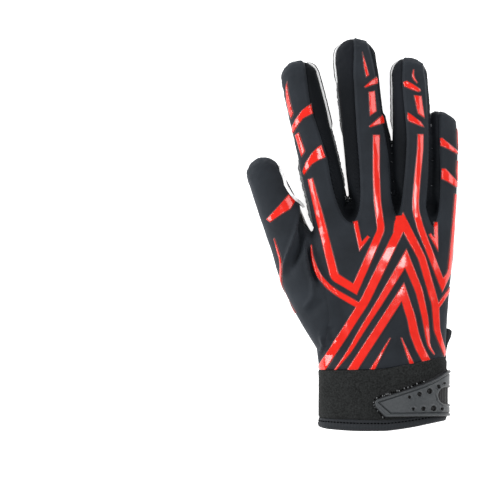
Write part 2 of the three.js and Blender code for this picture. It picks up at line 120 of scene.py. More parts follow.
# ---- the raised print: lines of [x, y, width]
STRIPES = {
    "chevron_outer": [
        [(-39.2, 36.8, 5.3), (-11.2, 80.5, 5.7), (12.6, 129.4, 5.6), (24.2, 107, 4.8), (32.3, 78.4, 4.6),
         (33.2, 62.6, 4), (38.9, 45.6, 1.9)],
        [(7.4, 123, 2.4), (8.8, 129, 3.6), (10, 132, 3.6)],
        [(7.9, 131.9, 2.2), (12.4, 132.7, 2.2)],
        [(-44.5, 115.3, 0.7), (-43.8, 107.9, 1.6), (-41.9, 101.1, 2.3), (-39.1, 95.5, 2.8),
         (-34.4, 89.9, 3.2), (-28.5, 85.6, 3.6), (-14, 77.2, 3.9)],
        [(32, 75, 2.5), (34.7, 78.4, 2.5), (42.2, 89.3, 1.9)],
    ],
    "chevron_middle": [[(-30.2, 37, 1.2), (-24.6, 44.2, 2), (-20.1, 50.4, 2.8), (-13.1, 62.4, 3.5),
        (-1.3, 81, 4.2), (14.1, 107, 5.4), (22.3, 87, 4.6), (26, 70.6, 3.9), (27.4, 60, 3), (28, 54.4, 2),
        (29.2, 51.2, 1.6), (31.8, 47.4, 0.8)]],
    "chevron_inner": [[(-19.8, 36.6, 5.6), (-2.9, 62.6, 5.4), (12.3, 86.1, 5.2), (17.4, 70.6, 5.4),
        (19.5, 60, 5.5), (22.5, 51.8, 5.2), (27, 43, 5)]],
    "ray_left": [[(4.5, 57.6, 0.6), (-7.2, 37, 2.9)]],
    "ray_right": [[(11.4, 57.8, 0.6), (18.4, 40.2, 3)]],
    "index_line": [[(-45, 156.4, 3.3), (-39.1, 132.7, 4.8), (-29.9, 95.6, 5.5), (-17.3, 87.9, 5),
        (-1.1, 124.7, 4.7), (-3.5, 142, 4.4), (-4.2, 160, 4.3), (-4.2, 183.6, 4.1)]],
    "ring_line": [[(23.2, 184, 3.5), (23.1, 175.8, 3.7), (22.5, 169.1, 3.7), (21.4, 158.1, 3.8),
        (20.2, 143.2, 4), (20.4, 136, 4.1), (23.4, 125.2, 4.2), (36.8, 90.5, 3.8), (40.9, 98.6, 2.5),
        (42.7, 118.4, 2), (45, 146.9, 1.7)]],
    "tick_left": [[(-17.1, 129.9, 2.9), (-13.8, 114.4, 2.7), (-8.8, 120.6, 1.9)]],
    "tick_right": [[(32.7, 129.4, 2.4), (32.9, 115.6, 2.4), (28.9, 122.2, 1.7)]],
    "ring_tip": [[(19, 224, 0.5), (18.5, 220.2, 1.3), (19.6, 217.8, 1.2), (21.2, 215.8, 0.7)]],
    "thumb_edge": [[(-67.4, 119.4, 0.5), (-65.1, 111.6, 1.2), (-63.4, 106, 1.4), (-63.1, 99, 1.4),
        (-63.4, 94.2, 1.4), (-63.2, 90.5, 1.8), (-62.3, 86.8, 2.4), (-60.9, 83.1, 2.6), (-59, 79.7, 2.4),
        (-57.2, 76.8, 2.2), (-54.2, 73.2, 0.8)]],
}
# Short marks with slanted ends, as outlines.
MARKS = {
    "index_tip": [(-59.4, 216.6), (-58.6, 210.2), (-57.2, 203.4), (-55.4, 196.9), (-56.8, 193.6),
        (-58.3, 197.9), (-59.8, 205), (-60.2, 213)],
    "index_bar_1": [(-44.6, 202.9), (-43.6, 196.8), (-49.4, 193.7), (-52.8, 189.3), (-55.5, 184.3),
        (-56.6, 185.7), (-56.2, 189), (-54, 193.4), (-50.2, 198.8), (-46.3, 201.8)],
    "index_link": [(-54.4, 183.4), (-52.1, 185), (-48.1, 173.5), (-50.4, 169.9)],
    "index_bar_2": [(-38.3, 177.4), (-35.7, 169.6), (-40, 167.8), (-44, 165.2), (-46.8, 161.4),
        (-48.7, 158.6), (-49.7, 160.9), (-47.9, 166.3), (-44, 172.4), (-40.7, 175.8)],
    "middle_tip": [(-12.8, 234.9), (-10.9, 228.8), (-8.7, 220.7), (-10.4, 219.3), (-11.8, 225.7)],
    "middle_bar_1": [(-11.6, 213.4), (-7.9, 216.8), (-4.2, 219.7), (-3.3, 217.9), (-3.5, 215.4),
        (-7.6, 214.1), (-10.9, 212.8)],
    "middle_link": [(-8.9, 210.2), (-5.2, 210.8), (-4.1, 198.2), (-8.1, 195.3)],
    "middle_bar_2": [(-8.6, 189), (-5, 192.2), (-0.6, 196), (0.5, 193.7), (0.7, 191), (-3.2, 189.8),
        (-7.9, 188.2)],
    "ring_bar_1": [(12.6, 216.4), (14.8, 217.1), (18.5, 215.1), (22.9, 212.1), (23.3, 210.8), (21.9, 210.1),
        (17.7, 211.7), (13.3, 213.5)],
    "ring_link": [(19.2, 208.2), (23.7, 207.7), (25.7, 193.9), (21.6, 196.8)],
    "ring_bar_2": [(15.3, 197.5), (17.3, 196.4), (23.4, 191.6), (25.4, 188.4), (23.3, 189), (15.9, 192),
        (15, 194.1)],
    "little_bar_1": [(35.5, 181.5), (36.7, 181.7), (41.1, 178.1), (45.6, 174.1), (47.4, 171.2), (44.4, 172.4),
        (39.9, 175.1), (35.8, 176.7)],
    "little_bar_2": [(36.5, 162.7), (38.9, 162.6), (42.3, 158.7), (46.3, 154.3), (47.4, 150.5), (44.8, 151.3),
        (39.9, 154.6), (36.3, 156.2)],
    "little_side_1": [(45.6, 187.6), (46.6, 186), (49, 180), (49, 172.4), (46.3, 173.6), (45.6, 179.2)],
    "little_side_2": [(45.5, 167.7), (49, 167.7), (49, 150), (46.9, 151.9), (45.3, 156.2), (44.9, 160.9)],
    "thumb_bar": [(-58.7, 146.6), (-54.4, 142.6), (-57.5, 137.6), (-62, 134.9), (-69.9, 129.4),
        (-72.2, 131.3), (-67, 136.9), (-62.4, 142.2)],
}
SHARP_TURN, EASING = 48, 2.5  # gentler turns of a stripe, in degrees, are drawn round over that length
PRINT = {"dark_border": 0.4, "foot": 0.06, "height": 0.6, "edge": 0.55, "sunk": 0.25, "above_seam": 1.3}
# How far above the palm seam the prints end that reach round the side.
LOW_PRINTS = {"thumb_edge": -1, "little_side_1": -0.5, "little_side_2": -0.5}
# The flat pattern under the palm's coating.
PALM_STRIPES = [
    [(35.7, 182.9, 0.5), (34.5, 146.3, 6), (32.6, 119, 7.4), (29.1, 93.2, 1)],
    [(14, 207.4, 0.5), (13.6, 169.9, 3.1), (12.4, 141.4, 5.6), (19.8, 119, 4.3), (29.1, 97, 2)],
    [(-16.9, 217.6, 0.5), (-9.3, 173, 3.1), (-8.4, 146.3, 3.7), (-17, 119, 3.7), (-17.9, 111, 1)],
    [(-40.6, 210.2, 0.5), (-32.9, 146.3, 3.1), (-21.4, 119, 4), (-17.9, 111, 1)],
    [(22.2, 84.9, 0.6), (10, 113, 4), (-0.1, 137.2, 3), (-8.5, 113, 4), (-19.8, 93.6, 0.6)],
]

# Reach of the finer triangles beside a seam.
FINE = {"cuff": 2.2, "palm": 2.4, "panels": 2.6, "pattern": 1}
FINE_PRINT = (1.2, 0.6)  # the same round a print's edge, first and second time
FINE_TAB = [(4.2, 1.2, 0), (0.7, 0.5, 0.6)]  # beside the tab's edge, its recesses and its panel
# Unevenness: height, size, seed.
UNEVEN = {
    "glove": [(0.2, 16, 1), (0.1, 6, 2)],
    "fingertips": [(0.35, 3.2, 5), (0.16, 1.7, 6)],
    "gathers": [(2.4, 5, 3)],
    "print": [(0.04, 4, 8)],
    "band": [(0.22, 13, 21), (0.08, 4, 22)],
    "hem": [(0.12, 5, 23)],
    "strap": [(0.12, 0.9, 31)],
    "vent": [(0.1, 2, 41)],
}
# Grooves where panels are sewn together: depth, width. A soft ridge stands beside those of the gussets.
GROOVES = {"palm": (0.55, 0.8), "gusset": (0.8, 0.8), "cuff": (0.5, 1.2), "thumb": (0.3, 1.2)}
RIDGE = {"height": 0.3, "at": 1.5, "width": 0.9}
# Height of the gathers beside a gusset.
GATHERS = {"index_middle": 0.42, "middle_ring": 0.16, "ring_little": 0.16}
GATHER_PERIOD = 2.6
# Folds of the back: line in plan, height, width.
FOLDS = [
    ([(-51.6, 139.5), (-52.6, 131.9), (-54.1, 124.7), (-56.4, 117.1), (-59.1, 109.4), (-61.1, 102.2),
     (-61.8, 97)], 2.6, 1.2),
    ([(-48.8, 141), (-49.6, 133.9), (-50.2, 123.4), (-52.1, 114.1), (-55.2, 106), (-57.7, 98.6)], -5, 2.5),
    ([(-48.6, 118), (-47.8, 108.1), (-46.3, 100.4), (-44, 93.3), (-43.6, 84.4)], 2, 1.1),
    ([(-46.2, 117), (-45.4, 107), (-43.8, 98.5), (-40.6, 91)], -4, 1.4),
    ([(-44, 87.4), (-44.2, 82.3), (-49.4, 76)], 1.1, 1.6),
    ([(-36, 82), (-47, 72.5)], -1.6, 3.2),
    ([(-39.1, 60.8), (-36.9, 53.3), (-39.1, 49)], 1.6, 1.4),
    ([(-33.5, 66), (-31.5, 54)], -1.6, 2.5),
    ([(-21.9, 192), (-22.4, 172), (-21.8, 150)], 0.6, 0.9),
    ([(3, 168), (7.6, 150), (8.4, 136)], -0.8, 1.3),
]
# Folds of the palm.
PALM_FOLDS = [
    ([(-46, 122), (-30, 106), (-20, 84), (-17, 62)], -2, 3.2),
    ([(-52, 108), (-40, 92), (-30, 68)], 1.2, 4),
    ([(-40, 128), (-30, 124), (-21, 126)], -1.6, 1.8),
    ([(-16, 128), (-5, 122), (5, 127)], -1.7, 1.8),
    ([(9, 128), (17, 121), (27, 124)], -1.6, 1.8),
    ([(29, 118), (36, 112), (43, 113)], -1.3, 1.6),
    ([(-12, 118), (6, 104), (28, 101), (42, 104)], -1.5, 3),
    ([(-38, 160), (-30, 156)], -1.2, 1.6),
    ([(-14, 166), (-2, 163)], -1.2, 1.6),
    ([(12, 160), (23, 158)], -1.2, 1.6),
]
# The palm's cut edge beside the cloth, and on the index's thumb side a grey strip that is a painted
# reflection of the glossy coat's side: finger, side, first and last section, pale width, dark width, look.
RAW_EDGES = [
    ("index", 1, 33, 57, 0.9, 0.75, "raw"),
    ("index", 1, 17, 35, 0.35, 0.4, "grey_edge"),
    ("middle", -1, 43, 57, 0.8, 0.6, "raw"),
    ("middle", -1, 30, 45, 0.3, 0.4, "grey_edge"),
    ("ring", -1, 34, 57, 0.6, 0.5, "raw"),
    # Painted reflection: the glossy coat's lit side along the index's thumb side, drawn as a grey face.
    ("index", -1, 8, 28, 0.9, 0.4, "grey_edge"),
]
# The same on the inner side of the thumb: x, y, dark width.
THUMB_RIM = [(-64.6, 164.6, 1), (-63.4, 161.2, 1.1), (-62, 158.1, 1.1), (-61.1, 155.3, 1.1),
    (-60.5, 152.5, 1.9), (-58.9, 149.7, 2.2), (-56.9, 146.4, 2.6), (-54.4, 143.5, 2.4), (-52.3, 142.3, 1.6),
    (-50.5, 140.5, 0.9), (-49.4, 138.4, 0.5)]

# ---- cuff and closure
# x, y
CUFF_BOTTOM = [(-42, 2.9), (-34, 1.6), (-13, 0.7), (0, 0.8), (8, 1.6), (19, 3.2), (28, 4.9), (38, 6.6)]
HEM_TOP = [(-42, 8.5), (-34, 8.2), (-13, 7.5), (0, 7.4), (8, 8), (19, 9.4), (28, 10.9), (38, 12.6)]
CUFF_TOP = [(-42, 38), (-24, 38.2), (-7, 38.5), (4, 39.6), (14, 41.5), (24, 43.4), (30, 44.7), (40, 46.2)]
# share of the hem's height, offset
HEM_PROFILE = [(0, -0.9), (0.06, -0.1), (0.16, 0.5), (0.34, 0.9), (0.5, 0.8), (0.62, 0.5), (0.7, 0.2),
    (0.78, 0.45), (0.93, 0.5), (1, 0.1)]
HEM_STITCHES = {"share": 0.72, "offset": 0.45}  # share of the hem's height, offset from the skin
HEM_KNOT = {"at": (37.5, 6, 16), "reach": 4, "height": 1.1}  # where the tape's ends are folded over
BAND_SIDE = (31, 36)  # x where the band starts to stand out beside the vent, and where it does so fully
WRIST_Y = 20  # lengths round the wrist are measured there
# Of the three pieces on the wrist: offsets from its skin, heights where they start and stop at the side, x
# where they end on the back, and their range of y. The bump of the vent's folded end is measured down from
# its top.
BINDING = {"inner": 1, "outer": 1.9, "under": 2, "over": 9, "bottom": 8.8, "top": 63.6, "bump": 2.7,
    "bump_from": 13, "bump_full": 3, "bump_end": 1.8}
STRAP = {"inner": 1.1, "outer": 2.1, "margin": 0.7, "under": 9.5, "end": -9, "y": (5, 42.5)}
TAB = {"inner": 2.3, "panel": 3.6, "rim": 0.6, "edge": 0.7, "end": -7, "y": (7, 43)}
TAB_OUTLINE = [(-5.1, 17.8), (-4.5, 15), (1.5, 8.8), (46, 9.4), (46, 41), (39.6, 36.4), (34, 32.6),
    (26.2, 29.2), (15.9, 25.5), (-4, 19.4)]
TAB_PANEL = [(-3, 17.6), (4.8, 10.8), (46, 11.2), (46, 38.8), (39, 34.2), (33.3, 30.6), (25.5, 27.2),
    (15.4, 23.7), (-1.6, 18.2)]
TAB_NOTCH = {"x": 39.7, "y": 21.9, "radius": 5.6, "depth": 0.8, "ribs": 0.3, "period": 1.5}
# The tab's rings and grooves: measured from, at, width, height.
TAB_RELIEF = [("panel", 0.1, 0.3, -0.6), ("rim", 1, 0.25, -0.2), ("notch", 0.6, 0.4, 0.35),
    ("notch", 1.4, 0.25, -0.3), ("hole", 0.3, 0.28, 0.25)]
HOLE = {"depth": 1.2, "knob": 0.6}  # each dimple has a low knob in its middle
# Thread loops over the strap's edge: spacing, height at which they are seen, and the thickness of pale and
# dark ones. Of both their ends: least reach past the tab, its spread, shift along x, height over the skin.
LOOPS = {"spacing": 1.2, "at": 34, "pale": 0.24, "dark": 0.34}
LOOP_ENDS = [(0.5, 0.6, 0, 2.2), (1.3, 0.9, 0.4, 0.9)]
# x, y, radius
TAB_HOLES = [(16.4, 21, 1), (22.6, 22.8, 1.4), (28.8, 24.7, 1.7), (34.4, 27.5, 1.2), (38, 29.6, 0.8),
    (18.8, 13.6, 1), (25, 13.8, 1.35), (31.3, 14, 1.7), (36.6, 13.7, 0.95)]

VOXEL = 1.1
INSET = 0.6  # the form is joined that much thinner, so that narrow gaps stay open
WALL = 1.2


# ---- mesh arithmetic
def as_seen(points):
    """Where points stand in the picture, as x and y at the sharp height."""
    scale = (EYE_HEIGHT - SHARP_HEIGHT) / (EYE_HEIGHT - points[:, 2:])
    return WATCHED + (points[:, :2] - WATCHED) * scale


def standing_at(seen, height):
    """The places at a height that are seen at points of the picture."""
    return WATCHED + (np.asarray(seen) - WATCHED) * (EYE_HEIGHT - height) / (EYE_HEIGHT - SHARP_HEIGHT)


def smoothstep(low, high, value):
    share = np.clip((value - low) / (high - low), 0, 1)
    return share * share * (3 - 2 * share)


def bell(value, width):
    return np.exp(-(value / width) ** 2)


def rounding(share):
    """How far a round edge lies below its top, from 1 at a share of 0 to 0 at a share of 1."""
    return 1 - np.sqrt(1 - (1 - np.clip(share, 0, 1)) ** 2)


def length_of(vectors):
    return np.linalg.norm(vectors, axis=1)


def unit(vectors):
    """Vectors, one a row, made one long."""
    return vectors / np.maximum(length_of(vectors), 1e-12)[:, None]


def places_along(line):
    """Length along a line up to each of its points."""
    return np.concatenate([[0], np.cumsum(length_of(np.diff(line, axis=0)))])


def turning(start, corner, end, count):
    """Points of a short curve that rounds off a corner."""
    return [start * (1 - t) ** 2 + 2 * corner * t * (1 - t) + end * t * t for t in np.linspace(0, 1, count)]


def spline(xs, ys, at):
    """Monotone cubic through the points (xs, ys), at other places."""
    xs, ys = np.asarray(xs, float), np.asarray(ys, float)
    at = np.clip(at, xs[0], xs[-1])
    step = np.diff(xs)
    slope = np.diff(ys) / step
    both = slope[:-1] * slope[1:]
    total = np.where(both > 0, slope[:-1] + slope[1:], 1)
    tangent = np.concatenate([[slope[0]], np.where(both > 0, 2 * both / total, 0), [slope[-1]]])
    k = np.clip(np.searchsorted(xs, at) - 1, 0, len(xs) - 2)
    h = step[k]
    t = (at - xs[k]) / h
    return (ys[k] * (1 + 2 * t) * (1 - t) ** 2 + tangent[k] * h * t * (1 - t) ** 2
            + ys[k + 1] * t * t * (3 - 2 * t) + tangent[k + 1] * h * t * t * (t - 1))


def seam_of(low, high):
    return low + (high - low) * SEAM_LEVEL


def superellipse(angle, half, below, above):
    """Offsets across and up of a section: an arch over the palm seam and a flatter bowl under it."""
    across, rise = np.cos(angle), np.sin(angle)
    power = 2 / np.where(rise > 0, UPPER_ROUNDNESS, LOWER_ROUNDNESS)
    width = np.sign(across) * np.abs(across) ** power * half
    return width, np.sign(rise) * np.abs(rise) ** power * np.where(rise > 0, above, below)


def section_ring(x, y, half, low, high, heading, sides=80):
    middle = seam_of(low, high)
    width, up = superellipse(np.arange(sides) * 2 * math.pi / sides, half, middle - low, high - middle)
    return np.stack([x + width * math.cos(heading), y - width * math.sin(heading), middle + up], 1)


def grid_faces(rows, columns, closed=True):
    """Triangles of a grid of points, row after row. A closed one joins its last column to its first."""
    r, c = np.meshgrid(np.arange(rows - 1), np.arange(columns if closed else columns - 1), indexing="ij")
    a, b = (r * columns + c).ravel(), (r * columns + (c + 1) % columns).ravel()
    return np.concatenate([np.stack([a, a + columns, b + columns], 1), np.stack([a, b + columns, b], 1)])


def loft(rings):
    """Points and triangles of a closed body through rings of points."""
    sides, count = len(rings[0]), len(rings)
    points = np.concatenate([*rings, [np.mean(rings[0], 0), np.mean(rings[-1], 0)]])
    side = np.arange(sides)
    after = (side + 1) % sides
    last = (count - 1) * sides
    start = np.stack([np.full(sides, count * sides), side, after], 1)
    end = np.stack([np.full(sides, count * sides + 1), last + after, last + side], 1)
    return points, np.concatenate([grid_faces(count, sides), start, end])


def with_dome(sections, lean=0.0):
    """The sections of a digit, followed by those that round off its tip."""
    x, y, half, low, high, heading = sections[-1]
    middle = seam_of(low, high)
    out = list(sections)
    for angle in DOME_ANGLES:
        shrink = max(math.cos(angle), 0.06)
        way = half * math.sin(angle)
        out.append((x + way * math.sin(heading) + lean * (1 - LEAN_BEFORE) * math.sin(angle) ** 2,
                    y + way * math.cos(heading), half * shrink,
                    middle - (middle - low) * shrink, middle + (high - middle) * shrink, heading))
    return out


def thinner(sections, inset):
    return [(x, y, half - inset, low + inset, high - inset, heading)
            for x, y, half, low, high, heading in sections]


def finger_axis(name):
    root, tip, half, _, _ = FINGERS[name]
    heading = math.atan2(tip[0] - root[0], tip[1] - root[1])
    start = np.array(root, float)
    end = np.array(tip, float) - half * np.array([math.sin(heading), math.cos(heading)])
    return start, end, heading


def finger_sections(name, inset=0.0):
    start, end, heading = finger_axis(name)
    _, _, half, height, lean = FINGERS[name]
    ways, widths, lows, highs = zip(*FINGER_SECTIONS)
    out = []
    for way in np.linspace(0, 1, STEPS):
        x, y = start + (end - start) * way
        out.append((x + lean * LEAN_BEFORE * way ** LEAN_POWER, y, half * spline(ways, widths, way),
                    spline(ways, lows, way), spline(ways, highs, way) * height, heading))
    return with_dome(thinner(out, inset), lean)


def thumb_sections(inset=0.0):
    xs, ys, halves, lows, highs = (np.array(v, float) for v in zip(*THUMB))
    ways = np.arange(len(xs), dtype=float)
    out = []
    for way in np.linspace(0, len(xs) - 1, STEPS):
        ahead, behind = min(way + 0.2, len(xs) - 1), max(way - 0.2, 0)
        heading = math.atan2(spline(ways, xs, ahead) - spline(ways, xs, behind),
                             spline(ways, ys, ahead) - spline(ways, ys, behind))
        out.append((*(spline(ways, row, way) for row in (xs, ys, halves, lows, highs)), heading))
    return with_dome(thinner(out, inset))


def hand_values(y):
    rows = np.array(HAND, float).T
    return [spline(rows[0], rows[k], y) for k in range(1, 5)]


def hand_sections(inset):
    ys = np.linspace(HAND[0][0], HAND[-1][0], 75)
    left, right, low, high = hand_values(ys)
    return thinner(zip((left + right) / 2, ys, (right - left) / 2, low, high, 0 * ys), inset)


def bpy_mesh(name, points, faces):
    mesh = bpy.data.meshes.new(name)
    faces = np.asarray(faces, np.int32)
    width = faces.shape[1]
    mesh.vertices.add(len(points))
    mesh.vertices.foreach_set("co", np.asarray(points, np.float32).ravel())
    mesh.loops.add(faces.size)
    mesh.loops.foreach_set("vertex_index", faces.ravel())
    mesh.polygons.add(len(faces))
    mesh.polygons.foreach_set("loop_start", np.arange(len(faces), dtype=np.int32) * width)
    mesh.update(calc_edges=True)
    return mesh


def placed(name, data):
    """A new object in the scene."""
    obj = bpy.data.objects.new(name, data)
    bpy.context.scene.collection.objects.link(obj)
    return obj


def joined(parts):
    """Several meshes, each points and faces, as one."""
    offsets = np.cumsum([0] + [len(points) for points, _ in parts[:-1]])
    return (np.concatenate([points for points, _ in parts]),
            np.concatenate([faces + offset for (_, faces), offset in zip(parts, offsets)]))


def voxel_union(parts, voxel):
    """One closed skin round several overlapping bodies, as points and triangles."""
    obj = placed("form", bpy_mesh("form", *joined(parts)))
    remesh = obj.modifiers.new("union", "REMESH")
    remesh.mode = "VOXEL"
    remesh.voxel_size = voxel
    evaluated = obj.evaluated_get(bpy.context.evaluated_depsgraph_get())
    mesh = evaluated.to_mesh()
    mesh.calc_loop_triangles()
    points = np.zeros(len(mesh.vertices) * 3, np.float32)
    mesh.vertices.foreach_get("co", points)
    triangles = np.zeros(len(mesh.loop_triangles) * 3, np.int32)
    mesh.loop_triangles.foreach_get("vertices", triangles)
    evaluated.to_mesh_clear()
    bpy.data.objects.remove(obj)
    return points.reshape(-1, 3).astype(float), triangles.reshape(-1, 3).astype(np.int64)


def edge_table(faces):
    """The unique edges, and for each face the index of its edges (0-1, 1-2, 2-0)."""
    pairs = np.sort(np.stack([faces, np.roll(faces, -1, 1)], 2).reshape(-1, 2), 1)
    key = pairs[:, 0] * (faces.max() + 1) + pairs[:, 1]
    _, first, index = np.unique(key, return_index=True, return_inverse=True)
    return pairs[first], index.reshape(-1, 3)


def part_of(faces, *arrays):
    """Some of a mesh's faces with new numbers, and the rows that they use of arrays with a row a point."""
    used, new = np.unique(faces, return_inverse=True)
    return (new.reshape(faces.shape), *(array[used] for array in arrays))


def smooth(points, faces, rounds, factor=0.5, back=-0.52):
    edges, _ = edge_table(faces)
    a, b = edges.T
    count = np.maximum(np.bincount(edges.ravel(), minlength=len(points)), 1)[:, None]
    for share in (factor, back) * rounds:
        total = np.stack([np.bincount(a, column[b], len(points)) + np.bincount(b, column[a], len(points))
                          for column in points.T], 1)
        points = points + share * (total / count - points)
    return points


def normals_of(points, faces):
    a, b, c = (points[faces[:, k]] for k in range(3))
    face = np.cross(b - a, c - a)
    return unit(np.stack([sum(np.bincount(faces[:, k], face[:, axis], len(points)) for k in range(3))
                          for axis in range(3)], 1))


def split(points, faces, edges, index, chosen, places):
    """Splits the chosen edges at the given places. Returns points, faces and each face's parent."""
    middle = np.full(len(edges), -1, np.int64)
    middle[chosen] = len(points) + np.arange(chosen.sum())
    m = middle[index]
    has = m >= 0
    count = has.sum(1)
    new, parents = [faces[count == 0]], [np.flatnonzero(count == 0)]

    def corners(rows, first):
        order = (first[:, None] + np.arange(3)) % 3
        return (*np.take_along_axis(faces[rows], order, 1).T, *np.take_along_axis(m[rows], order, 1).T)

    def keep(rows, *triples):
        for triple in triples:
            new.append(np.stack(triple, 1))
            parents.append(rows)

    rows = np.flatnonzero(count == 1)
    a, b, c, ab, _, _ = corners(rows, has[rows].argmax(1))
    keep(rows, (a, ab, c), (ab, b, c))
    rows = np.flatnonzero(count == 2)
    a, b, c, ab, bc, _ = corners(rows, (has[rows].argmin(1) + 1) % 3)
    keep(rows, (ab, b, bc), (a, ab, bc), (a, bc, c))
    rows = np.flatnonzero(count == 3)
    a, b, c, ab, bc, ca = corners(rows, np.zeros(len(rows), int))
    keep(rows, (a, ab, ca), (ab, b, bc), (ca, bc, c), (ab, bc, ca))
    return np.concatenate([points, places]), np.concatenate(new), np.concatenate(parents)


def refine(points, faces, marked):
    """Splits the edges of the faces that have a marked point in two."""
    edges, index = edge_table(faces)
    chosen = np.zeros(len(edges), bool)
    chosen[index[marked[faces].any(1)].ravel()] = True
    points, faces, _ = split(points, faces, edges, index, chosen, points[edges[chosen]].mean(1))
    return points, faces


def cut(points, faces, field, locked=None):
    """Cuts the triangles along the field's zero line.

    Points close to the line move onto it unless an earlier cut has locked them. Returns points, faces, each
    face's parent, the locked points and whether each face lies where the field is positive.
    """
    locked = np.zeros(len(points), bool) if locked is None else locked
    value = field(points)
    edges, index = edge_table(faces)
    a, b = edges.T
    rows = np.flatnonzero(value[a] * value[b] < 0)
    share = value[a[rows]] / (value[a[rows]] - value[b[rows]])
    spots = points[a[rows]] + (points[b[rows]] - points[a[rows]]) * share[:, None]
    ends, shares = np.concatenate([a[rows], b[rows]]), np.concatenate([share, 1 - share])
    near = (shares < 0.27) & ~locked[ends]
    order = np.argsort(-shares[near])
    points = points.copy()
    points[ends[near][order]] = np.concatenate([spots, spots])[near][order]
    value[ends[near]] = 0
    value[ends[(shares < 0.03) & locked[ends]]] = 0
    crossing = value[a] * value[b] < 0
    share = value[a[crossing]] / (value[a[crossing]] - value[b[crossing]])
    places = points[a[crossing]] + (points[b[crossing]] - points[a[crossing]]) * share[:, None]
    points, faces, parents = split(points, faces, edges, index, crossing, places)
    value = np.concatenate([value, np.zeros(len(places))])
    locked = np.concatenate([locked, np.zeros(len(places), bool)]) | (value == 0)
    return points, faces, parents, locked, value[faces].sum(1) > 0


def line_frame(xy, line):
    """Distance from an open line, way along it to the nearest point, its length, offset to its right."""
    line = np.asarray(line, float)[:, :2]
    best, along, right, passed = np.full(len(xy), 1e9), np.zeros(len(xy)), np.zeros(len(xy)), 0.0
    for p, q in zip(line[:-1], line[1:]):
        way = q - p
        length = np.linalg.norm(way)
        way = way / length
        t = np.clip((xy - p) @ way, 0, length)
        distance = length_of(xy - p - t[:, None] * way)
        closer = distance < best
        best = np.where(closer, distance, best)
        along = np.where(closer, passed + t, along)
        right = np.where(closer, (xy - p) @ (way[1], -way[0]), right)
        passed += length
    return best, along, passed, right


def outline_field(xy, outline):
    """Signed distance in plan from a closed outline, negative inside."""
    outline = np.asarray(outline, float)
    inside = np.zeros(len(xy), bool)
    for p, q in zip(outline, np.roll(outline, -1, 0)):
        if p[1] != q[1]:
            spans = (p[1] > xy[:, 1]) != (q[1] > xy[:, 1])
            inside ^= spans & (xy[:, 0] < p[0] + (xy[:, 1] - p[1]) / (q[1] - p[1]) * (q[0] - p[0]))
    distance = line_frame(xy, np.concatenate([outline, outline[:1]]))[0]
    return np.where(inside, -distance, distance)


def eased(line):
    """A stripe's middle line with its gentle turns drawn round and its sharp ones kept."""
    line = np.asarray(line, float)
    out = [line[0]]
    for before, here, after in zip(line[:-2], line[1:-1], line[2:]):
        arriving, leaving = here - before, after - here
        lengths = np.linalg.norm(arriving[:2]), np.linalg.norm(leaving[:2])
        turn = math.degrees(math.acos(np.clip(arriving[:2] @ leaving[:2] / lengths[0] / lengths[1], -1, 1)))
        if turn > SHARP_TURN:
            out.append(here)
            continue
        reach = min(EASING, 0.45 * min(lengths))
        out += turning(here - arriving * reach / lengths[0], here, here + leaving * reach / lengths[1], 7)
    return np.array(out + [line[-1]])


def ribbon(line):
    """Plan outline of a stripe with mitred corners."""
    line = eased(line)
    points, widths = line[:, :2], line[:, 2]
    way = unit(np.diff(points, axis=0))
    arriving, leaving = np.concatenate([way[:1], way]), np.concatenate([way, way[-1:]])
    across = np.stack([-leaving[:, 1], leaving[:, 0]], 1)
    mitre = unit(across + np.stack([-arriving[:, 1], arriving[:, 0]], 1))
    reach = (widths / 2 / (mitre * across).sum(1))[:, None]
    return np.concatenate([points + mitre * reach, (points - mitre * reach)[::-1]])


def stripes_field(xy, outlines):
    """Signed distance from the nearest of several outlines, exact near them."""
    out = np.full(len(xy), 9.0)
    for outline in outlines:
        near = ((xy > outline.min(0) - 4) & (xy < outline.max(0) + 4)).all(1)
        out[near] = np.minimum(out[near], outline_field(xy[near], outline))
    return out


def noise(points, size, seed):
    """Smooth random values from -1 to 1, one lattice step per size."""
    lattice = np.random.RandomState(seed).uniform(-1, 1, (32, 32, 32))
    at = points / size + 100
    low = np.floor(at).astype(int)
    t = at - low
    t = t * t * (3 - 2 * t)
    out = np.zeros(len(points))
    for corner in np.ndindex(2, 2, 2):
        cell = (low + corner) % 32
        out += np.prod(np.where(corner, t, 1 - t), 1) * lattice[cell[:, 0], cell[:, 1], cell[:, 2]]
    return out


def rounded(outline, step=2.0):
    """A closed outline drawn as a smooth curve through its corners."""
    p = np.asarray(outline, float)
    out = []
    for i in range(len(p)):
        a, b, c, d = p[i - 1], p[i], p[(i + 1) % len(p)], p[(i + 2) % len(p)]
        for t in np.linspace(0, 1, max(2, int(np.linalg.norm(c - b) / step)), endpoint=False):
            out.append(0.5 * (2 * b + (c - a) * t + (2 * a - 5 * b + 4 * c - d) * t * t
                              + (3 * b - 3 * c + d - a) * t ** 3))
    return np.array(out)


def rounded_corners(outline, radius):
    """A closed outline with each corner replaced by a short curve of five points."""
    p = np.asarray(outline, float)
    out = []
    for before, here, after in zip(np.roll(p, 1, 0), p, np.roll(p, -1, 0)):
        to, on = unit(np.array([here - before, after - here])) * radius
        out += turning(here - to, here, here + on, 5)
    return np.array(out)


def resampled(line, step):
    """Evenly spaced points along an open line."""
    line = np.asarray(line, float)
    places = places_along(line)
    at = np.linspace(0, places[-1], max(3, int(places[-1] / step)))
    return np.stack([np.interp(at, places, line[:, k]) for k in range(line.shape[1])], 1)


def uneven(points, kind):
    return sum(height * noise(points, size, seed) for height, size, seed in UNEVEN[kind])


# ---- fields of the seams
THUMB_LINE = [row[:2] for row in THUMB] + [(-78.0, 169.1)]


def finger_frame(xy, name):
    """Share of the way along a finger, and offset to its right over its half width."""
    start, end, _ = finger_axis(name)
    way = end - start
    length = np.linalg.norm(way)
    way /= length
    return (xy - start) @ way / length, (xy - start) @ (way[1], -way[0]) / FINGERS[name][2]


